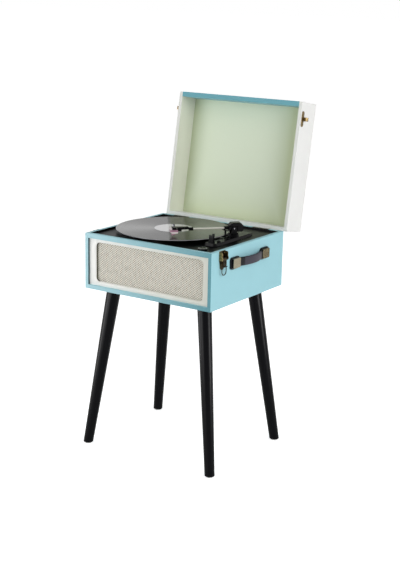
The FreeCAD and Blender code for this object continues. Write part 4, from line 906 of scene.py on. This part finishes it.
def paper_floor(scene):
    """A white paper sweep: it takes the object's shadow, and glows up to white where it is seen."""
    data = bpy.data.meshes.new("floor")
    reach = FLOOR_REACH
    corners = [(-reach, -reach, 0), (reach, -reach, 0), (reach, reach, 0), (-reach, reach, 0)]
    data.from_pydata(corners, [], [(0, 1, 2, 3)])
    floor = bpy.data.objects.new("floor", data)
    scene.collection.objects.link(floor)
    made, tree, shader = finish_of("Paper sweep white", linear("#FFFFFF"), roughness=0.9,
                                   specular=0.0)
    rays = add(tree, "ShaderNodeLightPath")
    seen = rays.outputs["Is Camera Ray"]
    for ray in ("Is Glossy Ray", "Is Transmission Ray"):
        seen = add(tree, "ShaderNodeMath", {0: seen, 1: rays.outputs[ray]},
                   operation="MAXIMUM").outputs[0]
    lift = add(tree, "ShaderNodeMath", {0: seen, 1: FLOOR_GLOW}, operation="MULTIPLY")
    glow = add(tree, "ShaderNodeEmission", {"Color": (1, 1, 1, 1), "Strength": lift.outputs[0]})
    both = add(tree, "ShaderNodeAddShader",
               {0: shader.outputs["BSDF"], 1: glow.outputs["Emission"]})
    wire(tree, tree.nodes["Material Output"], {"Surface": both.outputs["Shader"]})
    data.materials.append(made)


def soft_lamps(scene):
    """Broad lamps round the object, and cards that only reflections show."""
    leg_group = bpy.data.collections.new("legs_in_low_cards")
    for node in LEGS:
        leg_group.objects.link(NODES[node])
    for name, place, power, width, height, diffuse, glossy in LAMPS:
        data = bpy.data.lights.new(name, "AREA")
        data.energy = power
        data.shape = "RECTANGLE"
        data.size = width
        data.size_y = height
        lamp = bpy.data.objects.new(name, data)
        lamp.location = place
        lamp.visible_camera = False
        lamp.visible_diffuse = diffuse
        lamp.visible_glossy = glossy
        if name in LEG_CARDS:
            lamp.light_linking.receiver_collection = leg_group
        lamp.rotation_euler = (LAMP_AIM - lamp.location).to_track_quat("-Z", "Y").to_euler()
        scene.collection.objects.link(lamp)


def photo_camera(scene):
    """The camera at the photograph's viewing angle."""
    data = bpy.data.cameras.new("photo_camera")
    data.lens = CAMERA_LENS
    data.sensor_width = CAMERA_SENSOR
    data.clip_end = CAMERA_REACH
    camera = bpy.data.objects.new("photo_camera", data)
    back = Vector((math.sin(CAMERA_AZIMUTH) * math.cos(CAMERA_ELEVATION),
                   -math.cos(CAMERA_AZIMUTH) * math.cos(CAMERA_ELEVATION),
                   math.sin(CAMERA_ELEVATION)))
    turn = (-back).to_track_quat("-Z", "Y").to_matrix() @ Matrix.Rotation(CAMERA_ROLL, 3, "Z")
    camera.matrix_world = Matrix.Translation(CAMERA_PLACE) @ turn.to_4x4()
    scene.collection.objects.link(camera)
    scene.camera = camera


class PLAYER_OT_stage(bpy.types.Operator):
    """Makes the white floor, the soft light and the camera"""
    bl_idname = "player.stage"
    bl_label = "Stage"

    def execute(self, context):
        scene = context.scene
        scene.view_settings.view_transform = "Standard"
        white_room(scene)
        paper_floor(scene)
        soft_lamps(scene)
        photo_camera(scene)
        return {"FINISHED"}


STEPS = (PLAYER_OT_case, PLAYER_OT_grille, PLAYER_OT_deck, PLAYER_OT_record, PLAYER_OT_tonearm,
         PLAYER_OT_lid, PLAYER_OT_metalwork, PLAYER_OT_handle, PLAYER_OT_legs, PLAYER_OT_rear,
         PLAYER_OT_stage)


class PLAYER_PT_sidebar(bpy.types.Panel):
    """Lists the steps that finish the record player"""
    bl_idname = "PLAYER_PT_sidebar"
    bl_label = "Record Player"
    bl_space_type = "VIEW_3D"
    bl_region_type = "UI"
    bl_category = "Record Player"

    def draw(self, context):
        for step in STEPS:
            self.layout.operator(step.bl_idname)


CLASSES = (PlayerColours, PlayerSizes) + STEPS + (PLAYER_PT_sidebar,)


def register():
    for item in CLASSES:
        bpy.utils.register_class(item)
    bpy.types.Scene.player_colours = PointerProperty(type=PlayerColours)
    bpy.types.Scene.player_sizes = PointerProperty(type=PlayerSizes)


def unregister():
    del bpy.types.Scene.player_sizes
    del bpy.types.Scene.player_colours
    for item in reversed(CLASSES):
        bpy.utils.unregister_class(item)


def main():
    """Finishes every piece in order."""
    register()
    for step in STEPS:
        group, name = step.bl_idname.split(".")
        getattr(getattr(bpy.ops, group), name)()


if __name__ == "__main__":
    main()
